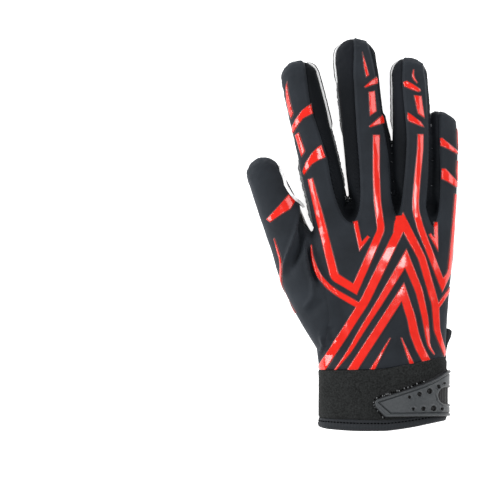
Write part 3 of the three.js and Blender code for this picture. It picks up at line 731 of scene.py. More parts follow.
def seam_height(points):
    """Height of the palm seam near each point."""
    xy = points[:, :2]
    hand = seam_of(*hand_values(xy[:, 1])[2:])
    ways, _, lows, highs = zip(*FINGER_SECTIONS)
    total, weights = np.zeros(len(xy)), np.full(len(xy), 1e-9)
    for name in FINGERS:
        way, offset = finger_frame(xy, name)
        level = seam_of(spline(ways, lows, way), spline(ways, highs, way) * FINGERS[name][3])
        weight = np.exp(-np.clip(np.abs(offset), 0, 6) ** 2 * 4)
        total += weight * level
        weights += weight
    beyond = smoothstep(106, 132, xy[:, 1])
    out = hand * (1 - beyond) + total / weights * beyond
    rows = np.array(THUMB, float)
    places = places_along(rows[:, :2])
    _, along, length, right = line_frame(xy, THUMB_LINE)
    level = seam_of(spline(places, rows[:, 3], along), spline(places, rows[:, 4], along))
    level -= THUMB_WRAP * smoothstep(-3, -10, right) * smoothstep(length, length - 14, along)
    on_thumb = smoothstep(places[1] - 8, places[3], along) * smoothstep(0, -3, outline_field(xy, THUMB_AREA))
    return out * (1 - on_thumb) + level * on_thumb


cuff_bottom, hem_top, cuff_top = (lambda x, table=table: spline(*zip(*table), x)
                                  for table in (CUFF_BOTTOM, HEM_TOP, CUFF_TOP))


# ---- the form, its seams and its folds
bodies = [hand_sections(INSET), thumb_sections(INSET)] + [finger_sections(name, INSET) for name in FINGERS]
bodies += [[(*row, 0.0) for row in rows] for rows in WEBS.values()]
POINTS, FACES = voxel_union([loft([section_ring(*s) for s in sections]) for sections in bodies], VOXEL)
POINTS = smooth(POINTS, FACES, 5)
# The webs between the fingers, and the thumb's, are smoother than the rest.
web = smoothstep(118, 128, POINTS[:, 1]) * smoothstep(150, 138, POINTS[:, 1])
web = np.maximum(web, bell(length_of(POINTS[:, :2] - (-46, 124)), 9))
soft = smooth(POINTS, FACES, 12, 0.5, -0.2)
POINTS = POINTS + (soft - POINTS) * web[:, None]
POINTS = POINTS + INSET * normals_of(POINTS, FACES)

fields = {
    "cuff": lambda p: p[:, 1] - cuff_top(p[:, 0]) - SEAM,
    "palm": lambda p: p[:, 2] - seam_height(p),
    "thumb": lambda p: outline_field(p[:, :2], THUMB_AREA),
}
for name, outline in GUSSETS.items():
    fields[name] = lambda p, outline=rounded(outline): outline_field(p[:, :2], outline)
palm_ribbons = [ribbon(line) for line in PALM_STRIPES]

FACES, POINTS = part_of(FACES[(fields["cuff"](POINTS) > -6)[FACES].any(1)], POINTS)
level = POINTS[:, 2] - seam_height(POINTS)
near = (np.abs(fields["cuff"](POINTS)) < FINE["cuff"]) | (np.abs(level) < FINE["palm"])
for name in ("thumb", *GUSSETS):
    near |= (np.abs(fields[name](POINTS)) < FINE["panels"]) & (level > -1)
near |= (np.abs(stripes_field(POINTS[:, :2], palm_ribbons)) < FINE["pattern"]) & (level < 0)
POINTS, FACES = refine(POINTS, FACES, near)

normal = normals_of(POINTS, FACES)
xy = POINTS[:, :2]
level = POINTS[:, 2] - seam_height(POINTS)
above = smoothstep(-1.0, 1.0, level)
upper, under = smoothstep(-0.15, 0.25, normal[:, 2]), smoothstep(0.1, -0.3, normal[:, 2])


def groove(kind, distance):
    depth, width = GROOVES[kind]
    return depth * bell(distance, width)


# Seams, and the gathered cloth beside those of the gussets.
lift = -groove("palm", level)
for name in GUSSETS:
    distance = fields[name](POINTS)
    ridge = RIDGE["height"] * bell(distance - RIDGE["at"], RIDGE["width"])
    lift -= above * (groove("gusset", distance) - ridge)
lift -= groove("cuff", fields["cuff"](POINTS))
lift -= upper * groove("thumb", fields["thumb"](POINTS)) * smoothstep(118, 96, xy[:, 1])
for name, height in GATHERS.items():
    distance = fields[name](POINTS)
    band = smoothstep(-5.5, -1.5, distance) * smoothstep(0.4, -0.6, distance) * above
    ripple = np.sin((xy[:, 1] + 0.5 * xy[:, 0]) * 2 * math.pi / GATHER_PERIOD + uneven(POINTS, "gathers"))
    lift += height * band * smoothstep(131, 140, xy[:, 1]) * smoothstep(205, 160, xy[:, 1]) * ripple
# Gussets that dive into the webs.
for x, y, reach, depth in POCKETS:
    inside = smoothstep(0.3, -1.6, np.min([fields[name](POINTS) for name in GUSSETS], 0))
    lift -= upper * inside * depth * bell(length_of((xy - (x, y)) / (1, 1.4)), reach)
# The cloth is drawn in above the raw edges of the palm.
for name, side, start, end, *_ in RAW_EDGES:
    way, offset = finger_frame(xy, name)
    way *= STEPS - 1
    there = (offset * side > 0.55) & (offset * side < 1.3)
    along = smoothstep(start - 3, start + 3, way) * smoothstep(end + 4, end - 1, way)
    lift -= there * 0.15 * along * smoothstep(-0.2, 0.6, level) * smoothstep(8, 1.5, level)
for table, side in ((FOLDS, upper), (PALM_FOLDS, under)):
    for line, height, width in table:
        distance, along, length, _ = line_frame(xy, line)
        taper = smoothstep(0, 0.25 * length, along) * smoothstep(length, 0.75 * length, along)
        lift += side * (0.25 + 0.75 * taper) * height * bell(distance, width)
# Fingertips are slightly wrinkled, and nothing is quite even.
tips = np.zeros(len(POINTS))
for name in FINGERS:
    way, offset = finger_frame(xy, name)
    tips = np.maximum(tips, smoothstep(0.9, 1.03, way) * (np.abs(offset) < 1.3))
_, along, length, _ = line_frame(xy, THUMB_LINE)
tips = np.maximum(tips, smoothstep(length - 18, length - 8, along) * (xy[:, 0] < -55))
lift += tips * uneven(POINTS, "fingertips")
lift += uneven(POINTS, "glove")
POINTS = POINTS + normal * lift[:, None]
POINTS[:, 2] = np.maximum(POINTS[:, 2], 0)


def pattern_field(p):
    return np.where(p[:, 2] < seam_height(p) - 0.8, stripes_field(p[:, :2], palm_ribbons), 9.0)


labels, locked = {}, None
for name, field in {**fields, "pattern": pattern_field}.items():
    POINTS, FACES, parents, locked, side = cut(POINTS, FACES, field, locked)
    labels = {n: v[parents] for n, v in labels.items()}
    labels[name] = side
NORMALS = normals_of(POINTS, FACES)
CENTRES = POINTS[FACES].mean(1)

is_back = labels["palm"] & labels["cuff"]
is_palm = ~labels["palm"] & labels["cuff"]
is_thumb = ~labels["thumb"]
in_gusset = {name: is_back & ~labels[name] & ~is_thumb for name in GUSSETS}
plain_back = is_back & ~np.any(list(in_gusset.values()), 0)
# mask of the faces, CAD node, record slot
PANELS = {
    "sewn_back": (plain_back & ~is_thumb, "back_panel", "back_cloth"),
    "sewn_thumb_back": (plain_back & is_thumb, "thumb_back", "back_cloth"),
    "sewn_palm": (is_palm & ~is_thumb, "palm_panel", "palm_coat"),
    "sewn_thumb_palm": (is_palm & is_thumb, "thumb_palm", "palm_coat"),
}
for name, mask in in_gusset.items():
    PANELS["sewn_gusset_" + name] = (mask, "gusset_" + name, "gusset_cloth")


# ---- materials
class Look:
    """A procedural material on a Principled shader."""

    def __init__(self, name, roughness, specular=0.5, **sockets):
        self.material = bpy.data.materials.new(name)
        self.material.use_nodes = True
        self.tree = self.material.node_tree
        self.shader = self.tree.nodes["Principled BSDF"]
        self.place = self.node("ShaderNodeTexCoord").outputs["Object"]
        values = {"Roughness": roughness, "Specular IOR Level": specular}
        values.update({key.replace("_", " "): value for key, value in sockets.items()})
        for socket, value in values.items():
            self.shader.inputs[socket].default_value = value

    def node(self, kind, inputs=(), **settings):
        made = self.tree.nodes.new(kind)
        for key, value in settings.items():
            setattr(made, key, value)
        for socket, value in dict(inputs).items():
            if isinstance(value, bpy.types.NodeSocket):
                self.tree.links.new(value, made.inputs[socket])
            else:
                made.inputs[socket].default_value = value
        return made

    def noise(self, scale, detail=2.0, roughness=0.5):
        return self.node("ShaderNodeTexNoise", {"Vector": self.place, "Scale": scale, "Detail": detail,
                                                "Roughness": roughness}).outputs["Fac"]

    def wave(self, period, direction, distortion=0.6):
        """Bands with a period in metres."""
        return self.node("ShaderNodeTexWave", {"Vector": self.place, "Scale": math.pi / 10 / period,
                                               "Distortion": distortion, "Detail": 1.0},
                         bands_direction=direction).outputs["Fac"]

    def math(self, operation, a, b=0.0):
        return self.node("ShaderNodeMath", {0: a, 1: b}, operation=operation).outputs[0]

    def ramp(self, value, low, high, start=0.0, end=1.0):
        return self.node("ShaderNodeMapRange", {"Value": value, "From Min": low, "From Max": high,
                                                "To Min": start, "To Max": end}).outputs[0]

    def mix(self, share, first, second):
        made = self.node("ShaderNodeMix", {"Factor": share}, data_type="RGBA")
        for index, value in ((6, first), (7, second)):
            if isinstance(value, bpy.types.NodeSocket):
                self.tree.links.new(value, made.inputs[index])
            else:
                made.inputs[index].default_value = (*value, 1.0)
        return made.outputs[2]

    def blend(self, first, second, share):
        """A share of the first value and the rest of the second."""
        return self.math("ADD", self.math("MULTIPLY", first, share), self.math("MULTIPLY", second, 1 - share))

    def use(self, socket, value):
        self.tree.links.new(value, self.shader.inputs[socket])

    def tones(self, value, low, high, dark, light):
        self.use("Base Color", self.mix(self.ramp(value, low, high), dark, light))

    def bump(self, height, distance, strength=1.0, under=None):
        made = self.node("ShaderNodeBump", {"Height": height, "Distance": distance, "Strength": strength})
        if under is not None:
            self.tree.links.new(under, made.inputs["Normal"])
        self.use("Normal", made.outputs[0])
        return made.outputs[0]


def cloth(name, dark, light, period=0.0006, sheen=0.06, strength=0.3, specular=0.15, tips=None):
    """Fine knit: rows of loops, uneven in tone, with a trace of sheen. Tips, if given, is a paler colour
    painted towards the fingertips: painted light where the shade of the webs ends.
    """
    look = Look(name, 0.72, specular, Sheen_Weight=sheen, Sheen_Roughness=0.5,
                Sheen_Tint=(0.55, 0.62, 0.75, 1.0))
    knit = look.math("MULTIPLY", look.wave(period, "Y"), look.wave(period * 0.8, "X"))
    fibres = look.noise(2600.0, 2.0, 0.7)
    tone = look.blend(look.noise(45.0, 3.0, 0.55), fibres, 0.75)
    base = look.mix(look.ramp(tone, 0.3, 0.7), dark, light)
    # Painted light: the cloth turns paler towards the fingertips, away from the webs' painted shade.
    if tips:
        place = look.node("ShaderNodeSeparateXYZ", {0: look.place}).outputs
        way = look.math("ADD", place["Y"], look.math("MULTIPLY", place["X"], 0.8))
        base = look.mix(look.ramp(way, 0.082, 0.106), base, tips)
    look.use("Base Color", look.mix(look.ramp(knit, 0.0, 0.6, 0.3, 0.0), base, tuple(0.4 * c for c in dark)))
    look.use("Roughness", look.ramp(fibres, 0.2, 0.8, 0.62, 0.85))
    look.bump(fibres, 0.00012, 0.3, under=look.bump(knit, 0.0002, strength))
    return look.material


def coat(name, dark, light):
    """Wet-gloss coating over cloth, with a barely visible grain."""
    look = Look(name, 0.16, 0.5, Coat_Weight=0.35, Coat_Roughness=0.05)
    clouds = look.noise(38.0, 3.0, 0.5)
    look.tones(clouds, 0.35, 0.7, dark, light)
    look.use("Roughness", look.ramp(clouds, 0.3, 0.7, 0.11, 0.24))
    look.bump(look.noise(900.0, 2.0, 0.6), 0.00006, 0.35, under=look.bump(look.noise(120.0), 0.0006, 0.25))
    return look.material


def puffed(name, dark, light, roughness):
    """Puffed print: plastic with a soft skin."""
    look = Look(name, roughness, 0.5)
    clouds = look.noise(160.0)
    look.tones(clouds, 0.3, 0.75, dark, light)
    look.use("Roughness", look.ramp(clouds, 0.25, 0.75, roughness * 0.8, roughness * 1.3))
    look.bump(look.noise(420.0), 0.0002, 0.12)
    return look.material


def grainy(name, dark, light, scale, roughness, distance, strength, specular=0.3):
    """A matte material with a fine grain, such as elastic, tape or moulded rubber."""
    look = Look(name, roughness, specular)
    fine = look.noise(scale, 3.0, 0.65)
    look.tones(look.blend(fine, look.noise(scale / 14), 0.85), 0.35, 0.66, dark, light)
    look.use("Roughness", look.ramp(fine, 0.25, 0.75, roughness * 0.85, min(1.0, roughness * 1.15)))
    look.bump(fine, distance, strength)
    return look.material


def ribbed(name, dark, light, period, direction, roughness=0.8):
    """Woven tape: fine ribs and fibres."""
    look = Look(name, roughness, 0.25)
    ribs, fibres = look.wave(period, direction, 0.8), look.noise(2400.0, 2.0, 0.7)
    look.tones(look.blend(ribs, fibres, 0.5), 0.25, 0.75, dark, light)
    look.use("Roughness", look.ramp(fibres, 0.2, 0.8, roughness * 0.85, min(1.0, roughness * 1.1)))
    look.bump(fibres, 0.0001, 0.4, under=look.bump(ribs, 0.0002, 0.5))
    return look.material


LOOKS = {
    "back": cloth("back_knit", (0.0085, 0.0106, 0.0138), (0.019, 0.0235, 0.03)),
    # Gussets: their dark tones are painted shade of the webs, and they are painted paler towards the
    # fingertips.
    "gusset": cloth("gusset_knit_painted_shade", (0.0019, 0.0027, 0.0038), (0.005, 0.0063, 0.0084), 0.0007, 0.01, 0.5, 0.08,
                    (0.009, 0.0106, 0.0138)),
    "palm": coat("palm_gloss", (0.0065, 0.007, 0.008), (0.009, 0.0095, 0.011)),
    "palm_red": coat("palm_gloss_red", (0.75, 0.016, 0.006), (0.84, 0.02, 0.008)),
    "raw": grainy("raw_edge", (0.74, 0.75, 0.76), (0.97, 0.97, 0.97), 1500, 0.85, 0.0002, 0.6),
    # Grey cut edges; on the index's thumb side the same grey is a painted reflection of the coat's side.
    "grey_edge": grainy("grey_edge", (0.03, 0.032, 0.035), (0.3, 0.31, 0.32), 1900, 0.8, 0.0003, 0.8),
    "rim": grainy("coated_rim", (0.006, 0.0065, 0.007), (0.02, 0.021, 0.023), 1300, 0.3, 0.0002, 0.5),
    "lining": grainy("lining", (0.05, 0.053, 0.058), (0.09, 0.094, 0.1), 1500, 0.9, 0.0002, 0.4),
    "print": puffed("red_puff", (0.56, 0.0095, 0.003), (0.66, 0.013, 0.0045), 0.12),
    "dark_border": puffed("print_edge", (0.04, 0.004, 0.004), (0.09, 0.007, 0.006), 0.5),
    "elastic": grainy("cuff_elastic", (0.003, 0.0033, 0.0033), (0.022, 0.0235, 0.0235), 1000, 0.9, 0.0005,
                      0.8, 0.12),
    "tape": ribbed("hem_tape", (0.005, 0.0062, 0.0078), (0.016, 0.0185, 0.0225), 0.0009, "X"),
    "strap": grainy("strap_textile", (0.002, 0.0022, 0.0025), (0.022, 0.023, 0.025), 1300, 0.9, 0.0004,
                    0.9, 0.2),
    "rubber": grainy("tab_rubber", (0.026, 0.03, 0.033), (0.04, 0.044, 0.048), 700, 0.42, 0.0001, 0.3, 0.35),
    # Painted shade: the tab's dimples and notch are coloured darker than its rubber, as shade in the
    # recesses.
    "hole": grainy("tab_recess_painted_shade", (0.003, 0.0032, 0.0035), (0.009, 0.0095, 0.01), 900, 0.45, 0.0001, 0.3),
    "thread": grainy("thread", (0.0003, 0.0003, 0.0004), (0.001, 0.001, 0.0012), 2000, 0.9, 0.0001, 0.3, 0),
    "pale_thread": ribbed("pale_thread", (0.05, 0.052, 0.055), (0.3, 0.31, 0.32), 0.0004, "DIAGONAL", 0.7),
}


# ---- pieces
def piece(name, points, faces, looks, slot, nodes=(), indices=None):
    """A finished piece of the glove, from points in the drawing frame."""
    mesh = bpy_mesh(name, (np.asarray(points) + SHIFT) / 1000, faces)
    obj = placed(name, mesh)
    for look in looks:
        mesh.materials.append(LOOKS[look])
    if indices is not None:
        mesh.polygons.foreach_set("material_index", np.asarray(indices, np.int32))
    mesh.polygons.foreach_set("use_smooth", np.ones(len(mesh.polygons), bool))
    mesh.update()
    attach(obj, "root")
    if nodes:
        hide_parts(*nodes)


def thick(outer, inner, faces, indices, inside, rim):
    """A skin between two copies of some faces, and its material indices. No inside leaves it open below."""
    count = len(outer)
    edges, index = edge_table(faces)
    single = np.bincount(index.ravel(), minlength=len(edges)) == 1
    a, b = np.stack([faces, np.roll(faces, -1, 1)], 2)[single[index]].T
    sides = np.concatenate([np.stack([b, a, a + count], 1), np.stack([b, a + count, b + count], 1)])
    below = faces[:0] if inside is None else faces[:, ::-1] + count
    material = np.concatenate([indices, np.full(len(below), inside or 0), np.full(len(sides), rim)])
    every, points = part_of(np.concatenate([faces, below, sides]), np.concatenate([outer, inner]))
    return points, every, material


PANEL_LOOKS = {
    "palm_coat": ["palm", "palm_red", "lining", "rim"],
    "back_cloth": ["back", "back", "lining", "gusset"],
    "gusset_cloth": ["gusset", "gusset", "lining", "gusset"],
}
for name, (mask, node, slot) in PANELS.items():
    faces, points, normal = part_of(FACES[mask], POINTS, NORMALS)
    red = (~labels["pattern"][mask]).astype(int)
    points, faces, material = thick(points, points - normal * WALL, faces, red, 2, 3)
    points[:, 2] = np.maximum(points[:, 2], 0)
    piece(name, points, faces, PANEL_LOOKS[slot], slot, [node], material)

# The raised print: puffed bodies with a thin dark edge, on the surface of the panels.
PRINTS = {name: [ribbon(line) for line in lines] for name, lines in STRIPES.items()}
PRINTS.update({name: [np.array(outline)] for name, outline in MARKS.items()})
for name, outlines in PRINTS.items():
    corners = np.concatenate(outlines)
    lowest = LOW_PRINTS.get(name, PRINT["above_seam"])

    def field(p):
        return np.maximum(stripes_field(as_seen(p), outlines), lowest + seam_height(p) - p[:, 2])

    near = (CENTRES[:, :2] > corners.min(0) - 3).all(1) & (CENTRES[:, :2] < corners.max(0) + 3).all(1)
    faces, points = part_of(FACES[near & is_back], POINTS)
    faces, points = part_of(faces[(field(points) < 1.5)[faces].any(1)], points)
    for reach in FINE_PRINT:
        points, faces = refine(points, faces, np.abs(field(points) + 0.15) < reach)
    points, faces, _, held, _ = cut(points, faces, field)
    points, faces, _, _, outside = cut(points, faces, lambda p: field(p) - PRINT["dark_border"], held)
    faces, points = part_of(faces[~outside], points)
    normal = unit(smooth(normals_of(points, faces), faces, 1, 0.5, 0.3))
    inside = np.clip(-field(points), 0, None)
    puff = PRINT["foot"] + PRINT["height"] * (1 - rounding(inside / PRINT["edge"]))
    puff += uneven(points, "print") * smoothstep(0, 1, inside)
    # A dark border round each print: a thin band along its edge and round its foot.
    dark_border = (field(points[faces].mean(1)) > -0.16).astype(int)
    low = points - normal * PRINT["sunk"]
    points, faces, material = thick(points + normal * puff[:, None], low, faces, dark_border, None, 1)
    piece("raised_" + name, points, faces, ["print", "dark_border"], "red_print", ["print_" + name], material)


# ---- the palm's cut edges beside the cloth
def side_line(sections, side):
    """The line at the palm seam along one side of a digit."""
    x, y, half, low, high, heading = np.array(sections).T
    out = np.stack([side * np.cos(heading), -side * np.sin(heading), 0 * heading], 1)
    return np.stack([x, y, seam_of(low, high)], 1) + out * half[:, None]


def raw_edge(name, line, side, pale, height, look, ragged):
    """A strip along a seam: a pale or grey face on top, and the dark coating outside it. On the index's thumb
    side the grey face is a painted reflection of the coat's side.

    The line has x, y, z and the width of the coating.
    """
    step = 0.45
    spine = resampled(line, step)
    dark, spine = spine[:, 3], spine[:, :3]
    way = unit(np.gradient(spine[:, :2], axis=0))
    out = np.stack([way[:, 1], -way[:, 0], np.zeros(len(way))], 1) * side
    along = np.arange(len(spine)) * step
    ends = smoothstep(0, 5, along) * smoothstep(along[-1], along[-1] - 5, along)
    shift = ragged * noise(spine, 1.1, 11)
    top = height * (0.35 + 0.65 * ends) + ragged * noise(spine, 0.9, 12)
    inner = shift + pale * (0.3 + 0.7 * ends)
    outer = dark * (0.3 + 0.7 * ends) + 0.6 * ragged * noise(spine, 1.4, 13)
    back, low = 0 * along - 1.1, seam_height(spine) - spine[:, 2] - 1.0
    section = [(back, low), (inner + outer, low), (inner + outer, top - 0.5),
               (inner + outer * 0.4, top - 0.15), (inner, top), (inner * 0.5, top + 0.05), (back, top)]
    rings = np.stack([spine + out * across[:, None] + np.outer(up, (0, 0, 1)) for across, up in section], 1)
    points, faces = loft(list(rings))
    column = faces % len(section)
    pale_face = (column >= 4).all(1) & (faces < len(spine) * len(section)).all(1)
    piece(name, points, faces[:, ::side], [look, "rim"], "palm_coat", indices=np.where(pale_face, 0, 1))


for number, (name, side, start, end, pale, dark, look) in enumerate(RAW_EDGES):
    line = side_line(finger_sections(name), side)[start:end]
    line = np.concatenate([line, np.full((len(line), 1), dark)], 1)
    ragged = 0.12 if look == "raw" else 0.28
    raw_edge(f"raw_edge_{name}_{number}", line, side, pale, height=0.9, look=look, ragged=ragged)
rim = resampled(THUMB_RIM, 1.5)
top = [POINTS[length_of(POINTS[:, :2] - spot) < 0.8, 2].max(initial=0) for spot in rim[:, :2]]
rim = np.stack([rim[:, 0], rim[:, 1], np.maximum(top, seam_height(rim)), rim[:, 2]], 1)
raw_edge("raw_edge_thumb", rim, 1, pale=0.7, height=0.6, look="raw", ragged=0.15)


# ---- the wrist's skin, unrolled
def wrist(angle, y, grow):
    """Points of the wrist's skin. Angle 0 is the little finger's side, and pi / 2 the back of the hand."""
    left, right, low, high = hand_values(y)
    middle = seam_of(low, high)
    width, up = superellipse(angle, (right - left) / 2 + grow, middle - low + grow, high - middle + grow)
    return np.stack([(left + right) / 2 + width, y + 0 * width, middle + up], -1)


ANGLES = np.linspace(-math.pi, math.pi, 4001)
RING = wrist(ANGLES, WRIST_Y, TAB["panel"])
ARC = places_along(RING)
ARC -= ARC[2000]  # length round the wrist from the little finger's side


def angle_at(length):
    return np.interp(length, ARC, ANGLES)


def wrist_x(x):
    """Length round the wrist to the place on its back with a given x."""
    return np.interp(-np.asarray(x), -RING[2000:, 0], ARC[2000:])


def length_at_height(z):
    """Length round the wrist to the place on the little finger's side, below the seam, at a given height."""
    lower = (ANGLES > -1.2) & (ANGLES < 0)
    return np.interp(z, RING[lower, 2], ARC[lower])


def on_wrist(flat, grow):
    return wrist(angle_at(flat[:, 0]), flat[:, 1], grow)


def plan(flat):
    """Places on the wrist's skin as seen in the picture."""
    return as_seen(on_wrist(flat, TAB["panel"]))


def wrist_patch(start, end, low, high, step=0.55):
    """A flat grid of the wrist's skin: length round the wrist, y, 0."""
    columns, rows = int((end - start) / step) + 1, int((high - low) / step) + 1
    s, y = np.meshgrid(np.linspace(start, end, columns), np.linspace(low, high, rows))
    return np.stack([s.ravel(), y.ravel(), 0 * s.ravel()], 1), grid_faces(rows, columns, closed=False)


# ---- cuff band and hem
def sleeve(name, bottom, top, offset, inside, rows, looks, slot, nodes, columns=300):
    """A closed ring round the wrist. offset(share of its height, points) is how far it stands out."""
    angle = angle_at(np.linspace(ARC[0], ARC[-1], columns, endpoint=False))
    x = wrist(angle, WRIST_Y, 0.0)[:, 0]
    rings = []
    for share in np.linspace(0, 1, rows):
        y = bottom(x) + (top(x) - bottom(x)) * share
        rings.append(wrist(angle, y, offset(share, wrist(angle, y, 0.0))))
    for share in np.linspace(1, 0, 6):
        rings.append(wrist(angle, bottom(x) + (top(x) - bottom(x)) * share, inside))
    points = np.concatenate(rings)
    faces = grid_faces(len(rings) + 1, columns) % len(points)
    points[:, 2] = np.maximum(points[:, 2], 0)
    piece(name, points, faces, looks, slot, nodes, (faces >= rows * columns).any(1).astype(int))


def band_offset(share, points):
    edge = 0.4 * (bell(1 - share, 0.02) + bell(share, 0.02))
    side = smoothstep(*BAND_SIDE, points[:, 0]) * smoothstep(1.0, 0.9, share)
    return 0.45 - edge + side + uneven(points, "band")


def hem_offset(share, points):
    knot = HEM_KNOT["height"] * bell(length_of(points - HEM_KNOT["at"]), HEM_KNOT["reach"])
    return np.interp(share, *zip(*HEM_PROFILE)) + uneven(points, "hem") + knot


sleeve("elastic_band", lambda x: hem_top(x) + SEAM, cuff_top, band_offset, inside=-1.5, rows=60,
       looks=["elastic", "lining"], slot="cuff_elastic", nodes=["cuff_band"])
sleeve("taped_hem", cuff_bottom, hem_top, hem_offset, inside=-1.7, rows=22,
       looks=["tape", "lining"], slot="hem_tape", nodes=["cuff_hem"])


# ---- stitches
def capsules(ends, radius, sides=6):
    """Short rounded bars between pairs of points, as one mesh."""
    ends = np.asarray(ends, float)
    way = ends[:, 1] - ends[:, 0]
    first = unit(np.cross(way, (0.31, 0.17, 0.93)))  # a direction that no stitch has
    second = unit(np.cross(way, first))
    turn = np.arange(sides)[:, None] * 2 * math.pi / sides
    around = first[:, None] * np.sin(turn) + second[:, None] * np.cos(turn)
    profile = ((0.0, 0.2), (0.12, 0.8), (0.3, 1.0), (0.7, 1.0), (0.88, 0.8), (1.0, 0.2))
    return joined([loft([ends[k, 0] + way[k] * place + around[k] * radius * size for place, size in profile])
                   for k in range(len(ends))])


def wrist_dashes(y_of, offset, end, length=1.5, gap=0.8, thickness=0.36):
    """Stitches along a line round the wrist, from the thumb's side under the palm to a length round it."""
    starts = np.arange(ARC[0], end - length, length + gap)
    ends = []
    for place in (starts, starts + length):
        angle = angle_at(place)
        ends.append(wrist(angle, y_of(wrist(angle, WRIST_Y, 0.0)[:, 0]), offset))
    return capsules(np.stack(ends, 1), thickness)


def hem_stitch_y(x):
    return cuff_bottom(x) + (hem_top(x) - cuff_bottom(x)) * HEM_STITCHES["share"]


piece("hem_stitches", *wrist_dashes(hem_stitch_y, HEM_STITCHES["offset"], ARC[-1]), ["thread"], "hem_tape")


# ---- strap, tab and bound vent
def moulded(name, flat, faces, height, inner, looks, slot, nodes, indices=None):
    """A piece on the wrist's skin, with its top at a height and its underside at another."""
    indices = np.zeros(len(faces), int) if indices is None else indices
    points, faces, material = thick(on_wrist(flat, height), on_wrist(flat, inner), faces, indices, 0, 0)
    points[:, 2] = np.maximum(points[:, 2], 0)
    piece(name, points, faces, looks, slot, nodes, material)


TAB_LINE = rounded_corners(TAB_OUTLINE, 1.0)


def tab_field(flat):
    return outline_field(plan(flat), TAB_LINE)


def notch_field(flat):
    return length_of(plan(flat) - (TAB_NOTCH["x"], TAB_NOTCH["y"])) - TAB_NOTCH["radius"]


def hole_fields(flat):
    x, y = plan(flat).T
    return np.array([np.hypot(x - hole_x, y - hole_y) - radius for hole_x, hole_y, radius in TAB_HOLES])


def recess_field(flat):
    return np.minimum(hole_fields(flat).min(0), notch_field(flat))


# The textile strap under the tab.
strap_start = length_at_height(STRAP["under"])
flat, faces = wrist_patch(strap_start, wrist_x(STRAP["end"]), *STRAP["y"])
flat, faces, _, _, outside = cut(flat, faces, lambda p: tab_field(p) - STRAP["margin"])
faces, flat = part_of(faces[~outside], flat)
edge = smoothstep(0, 0.8, STRAP["margin"] - tab_field(flat))
height = STRAP["outer"] - 0.5 * (1 - edge) + uneven(flat, "strap")
moulded("textile_strap", flat, faces, height, STRAP["inner"], ["strap"], "strap_textile", ["closure_strap"])

# The moulded tab: a rim, a groove, the panel with its dimples, and the notch with its ribbed grip.
flat, faces = wrist_patch(strap_start, wrist_x(TAB["end"]), *TAB["y"])
for edge, recess, panel in FINE_TAB:
    near = (np.abs(tab_field(flat)) < edge) | (np.abs(recess_field(flat)) < recess)
    flat, faces = refine(flat, faces, near | (np.abs(outline_field(plan(flat), TAB_PANEL)) < panel))
flat, faces, _, held, outside = cut(flat, faces, tab_field)
faces, flat, held = part_of(faces[~outside], flat, held)
flat, faces, _, _, solid = cut(flat, faces, recess_field, held)
lines = {"rim": -tab_field(flat), "panel": -outline_field(plan(flat), TAB_PANEL), "notch": notch_field(flat),
         "hole": hole_fields(flat).min(0)}
height = TAB["panel"] + TAB["rim"] * smoothstep(0.1, -0.5, lines["panel"])
for line, at, width, rise in TAB_RELIEF:
    height += rise * bell(lines[line] - at, width)
ribs = TAB_NOTCH["ribs"] * np.cos(plan(flat)[:, 0] * 2 * math.pi / TAB_NOTCH["period"])
height -= (TAB_NOTCH["depth"] - ribs) * smoothstep(0.0, -0.6, lines["notch"])
height -= HOLE["depth"] * smoothstep(0.0, -0.5, lines["hole"])
height += HOLE["knob"] * smoothstep(-0.9, -1.3, lines["hole"])
height -= TAB["edge"] * rounding(lines["rim"] / TAB["edge"])
# The recesses take the darker material: painted shade in the dimples and the notch.
moulded("moulded_tab", flat, faces, height, TAB["inner"], ["rubber", "hole"], "tab_rubber", ["pull_tab"],
        (~solid).astype(int))

# Loops of thread over the strap's edge, uneven, round its end at the back of the wrist.
spots = resampled(np.concatenate([TAB_LINE[35:], TAB_LINE[:13]]), LOOPS["spacing"])
way = unit(np.gradient(spots, axis=0))
away = np.stack([way[:, 1], -way[:, 0]], 1)
chance = np.random.RandomState(7).uniform(0, 1, (2, len(spots)))
ends = []
for least, spread, across, grow in LOOP_ENDS:
    reach = least + spread * chance[0]
    place = standing_at(spots + away * reach[:, None] + (across, 0.0), LOOPS["at"])
    ends.append(on_wrist(np.stack([wrist_x(place[:, 0]), place[:, 1]], 1), grow))
loops, pale = np.stack(ends, 1), chance[1] > 0.5
piece("strap_stitches_pale", *capsules(loops[pale], LOOPS["pale"]), ["pale_thread"], "strap_textile")
piece("strap_stitches_dark", *capsules(loops[~pale], LOOPS["dark"]), ["thread"], "strap_textile")

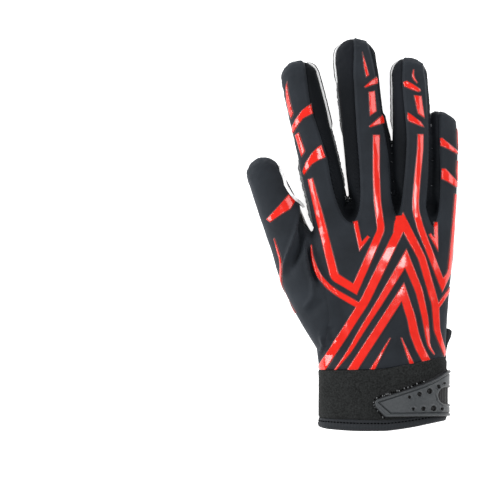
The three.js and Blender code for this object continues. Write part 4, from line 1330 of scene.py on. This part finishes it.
# The bound edge of the vent, with its folded end.
top = BINDING["top"]
flat, faces = wrist_patch(length_at_height(BINDING["under"]), length_at_height(BINDING["over"]),
                          BINDING["bottom"], top, 0.5)
s, y = flat[:, 0], flat[:, 1]
border = np.minimum.reduce([s - s.min(), s.max() - s, y - y.min(), y.max() - y])
bump = smoothstep(top - BINDING["bump_from"], top - BINDING["bump_full"], y)
bump *= BINDING["bump"] * smoothstep(top + 0.6, top - BINDING["bump_end"], y)
height = BINDING["outer"] + bump + uneven(flat, "vent")
height -= (height - BINDING["inner"]) * 0.6 * rounding(border / 1.1)
moulded("bound_vent", flat, faces, height, BINDING["inner"], ["tape"], "hem_tape", ["vent_binding"])

# ---- stage, light, camera
floor = placed("floor", bpy_mesh("floor", [(-3, -3, 0), (3, -3, 0), (3, 3, 0), (-3, 3, 0)], [(0, 1, 2, 3)]))
floor_look = Look("studio_floor", 0.9, 0.2)
floor_look.use("Base Color", floor_look.mix(floor_look.noise(30.0), [0.915] * 3, [0.93] * 3))
floor_look.shader.inputs["Emission Color"].default_value = (1.0, 1.0, 1.0, 1.0)
floor_look.shader.inputs["Emission Strength"].default_value = 0.85  # a table lit from below
floor.data.materials.append(floor_look.material)

world = bpy.data.worlds.new("studio")
world.use_nodes = True
world.node_tree.nodes["Background"].inputs["Color"].default_value = (1.0, 1.0, 1.0, 1.0)
world.node_tree.nodes["Background"].inputs["Strength"].default_value = 0.4
bpy.context.scene.world = world

# Softboxes that face the glove, in metres: place, width, height, radiance.
SOFTBOXES = {
    "right": ((1.1, 0.45, 0.75), 1.0, 0.9, 3.5),
    "left": ((-1.25, 0.3, 0.62), 1.0, 0.7, 9.0),
    "front": ((0.1, -1.2, 0.8), 1.2, 0.6, 2.0),
    "top": ((0.16, 0.2, 1.42), 0.46, 0.2, 13.0),
}
for name, (place, width, height, radiance) in SOFTBOXES.items():
    light = bpy.data.lights.new(name, "AREA")
    light.shape = "RECTANGLE"
    light.size, light.size_y = width, height
    light.energy = 4 * radiance * width * height
    lamp = placed(name, light)
    lamp.location = place
    lamp.rotation_mode = "QUATERNION"
    lamp.rotation_quaternion = (Vector((0.0, 0.03, 0.0)) - Vector(place)).to_track_quat("-Z", "Y")

camera = bpy.data.cameras.new("camera")
camera.lens = LENS
camera.sensor_width = SENSOR
eye = placed("camera", camera)
eye.location = (np.array([*WATCHED, EYE_HEIGHT]) + SHIFT) / 1000
bpy.context.scene.camera = eye
bpy.context.scene.view_settings.view_transform = "Standard"
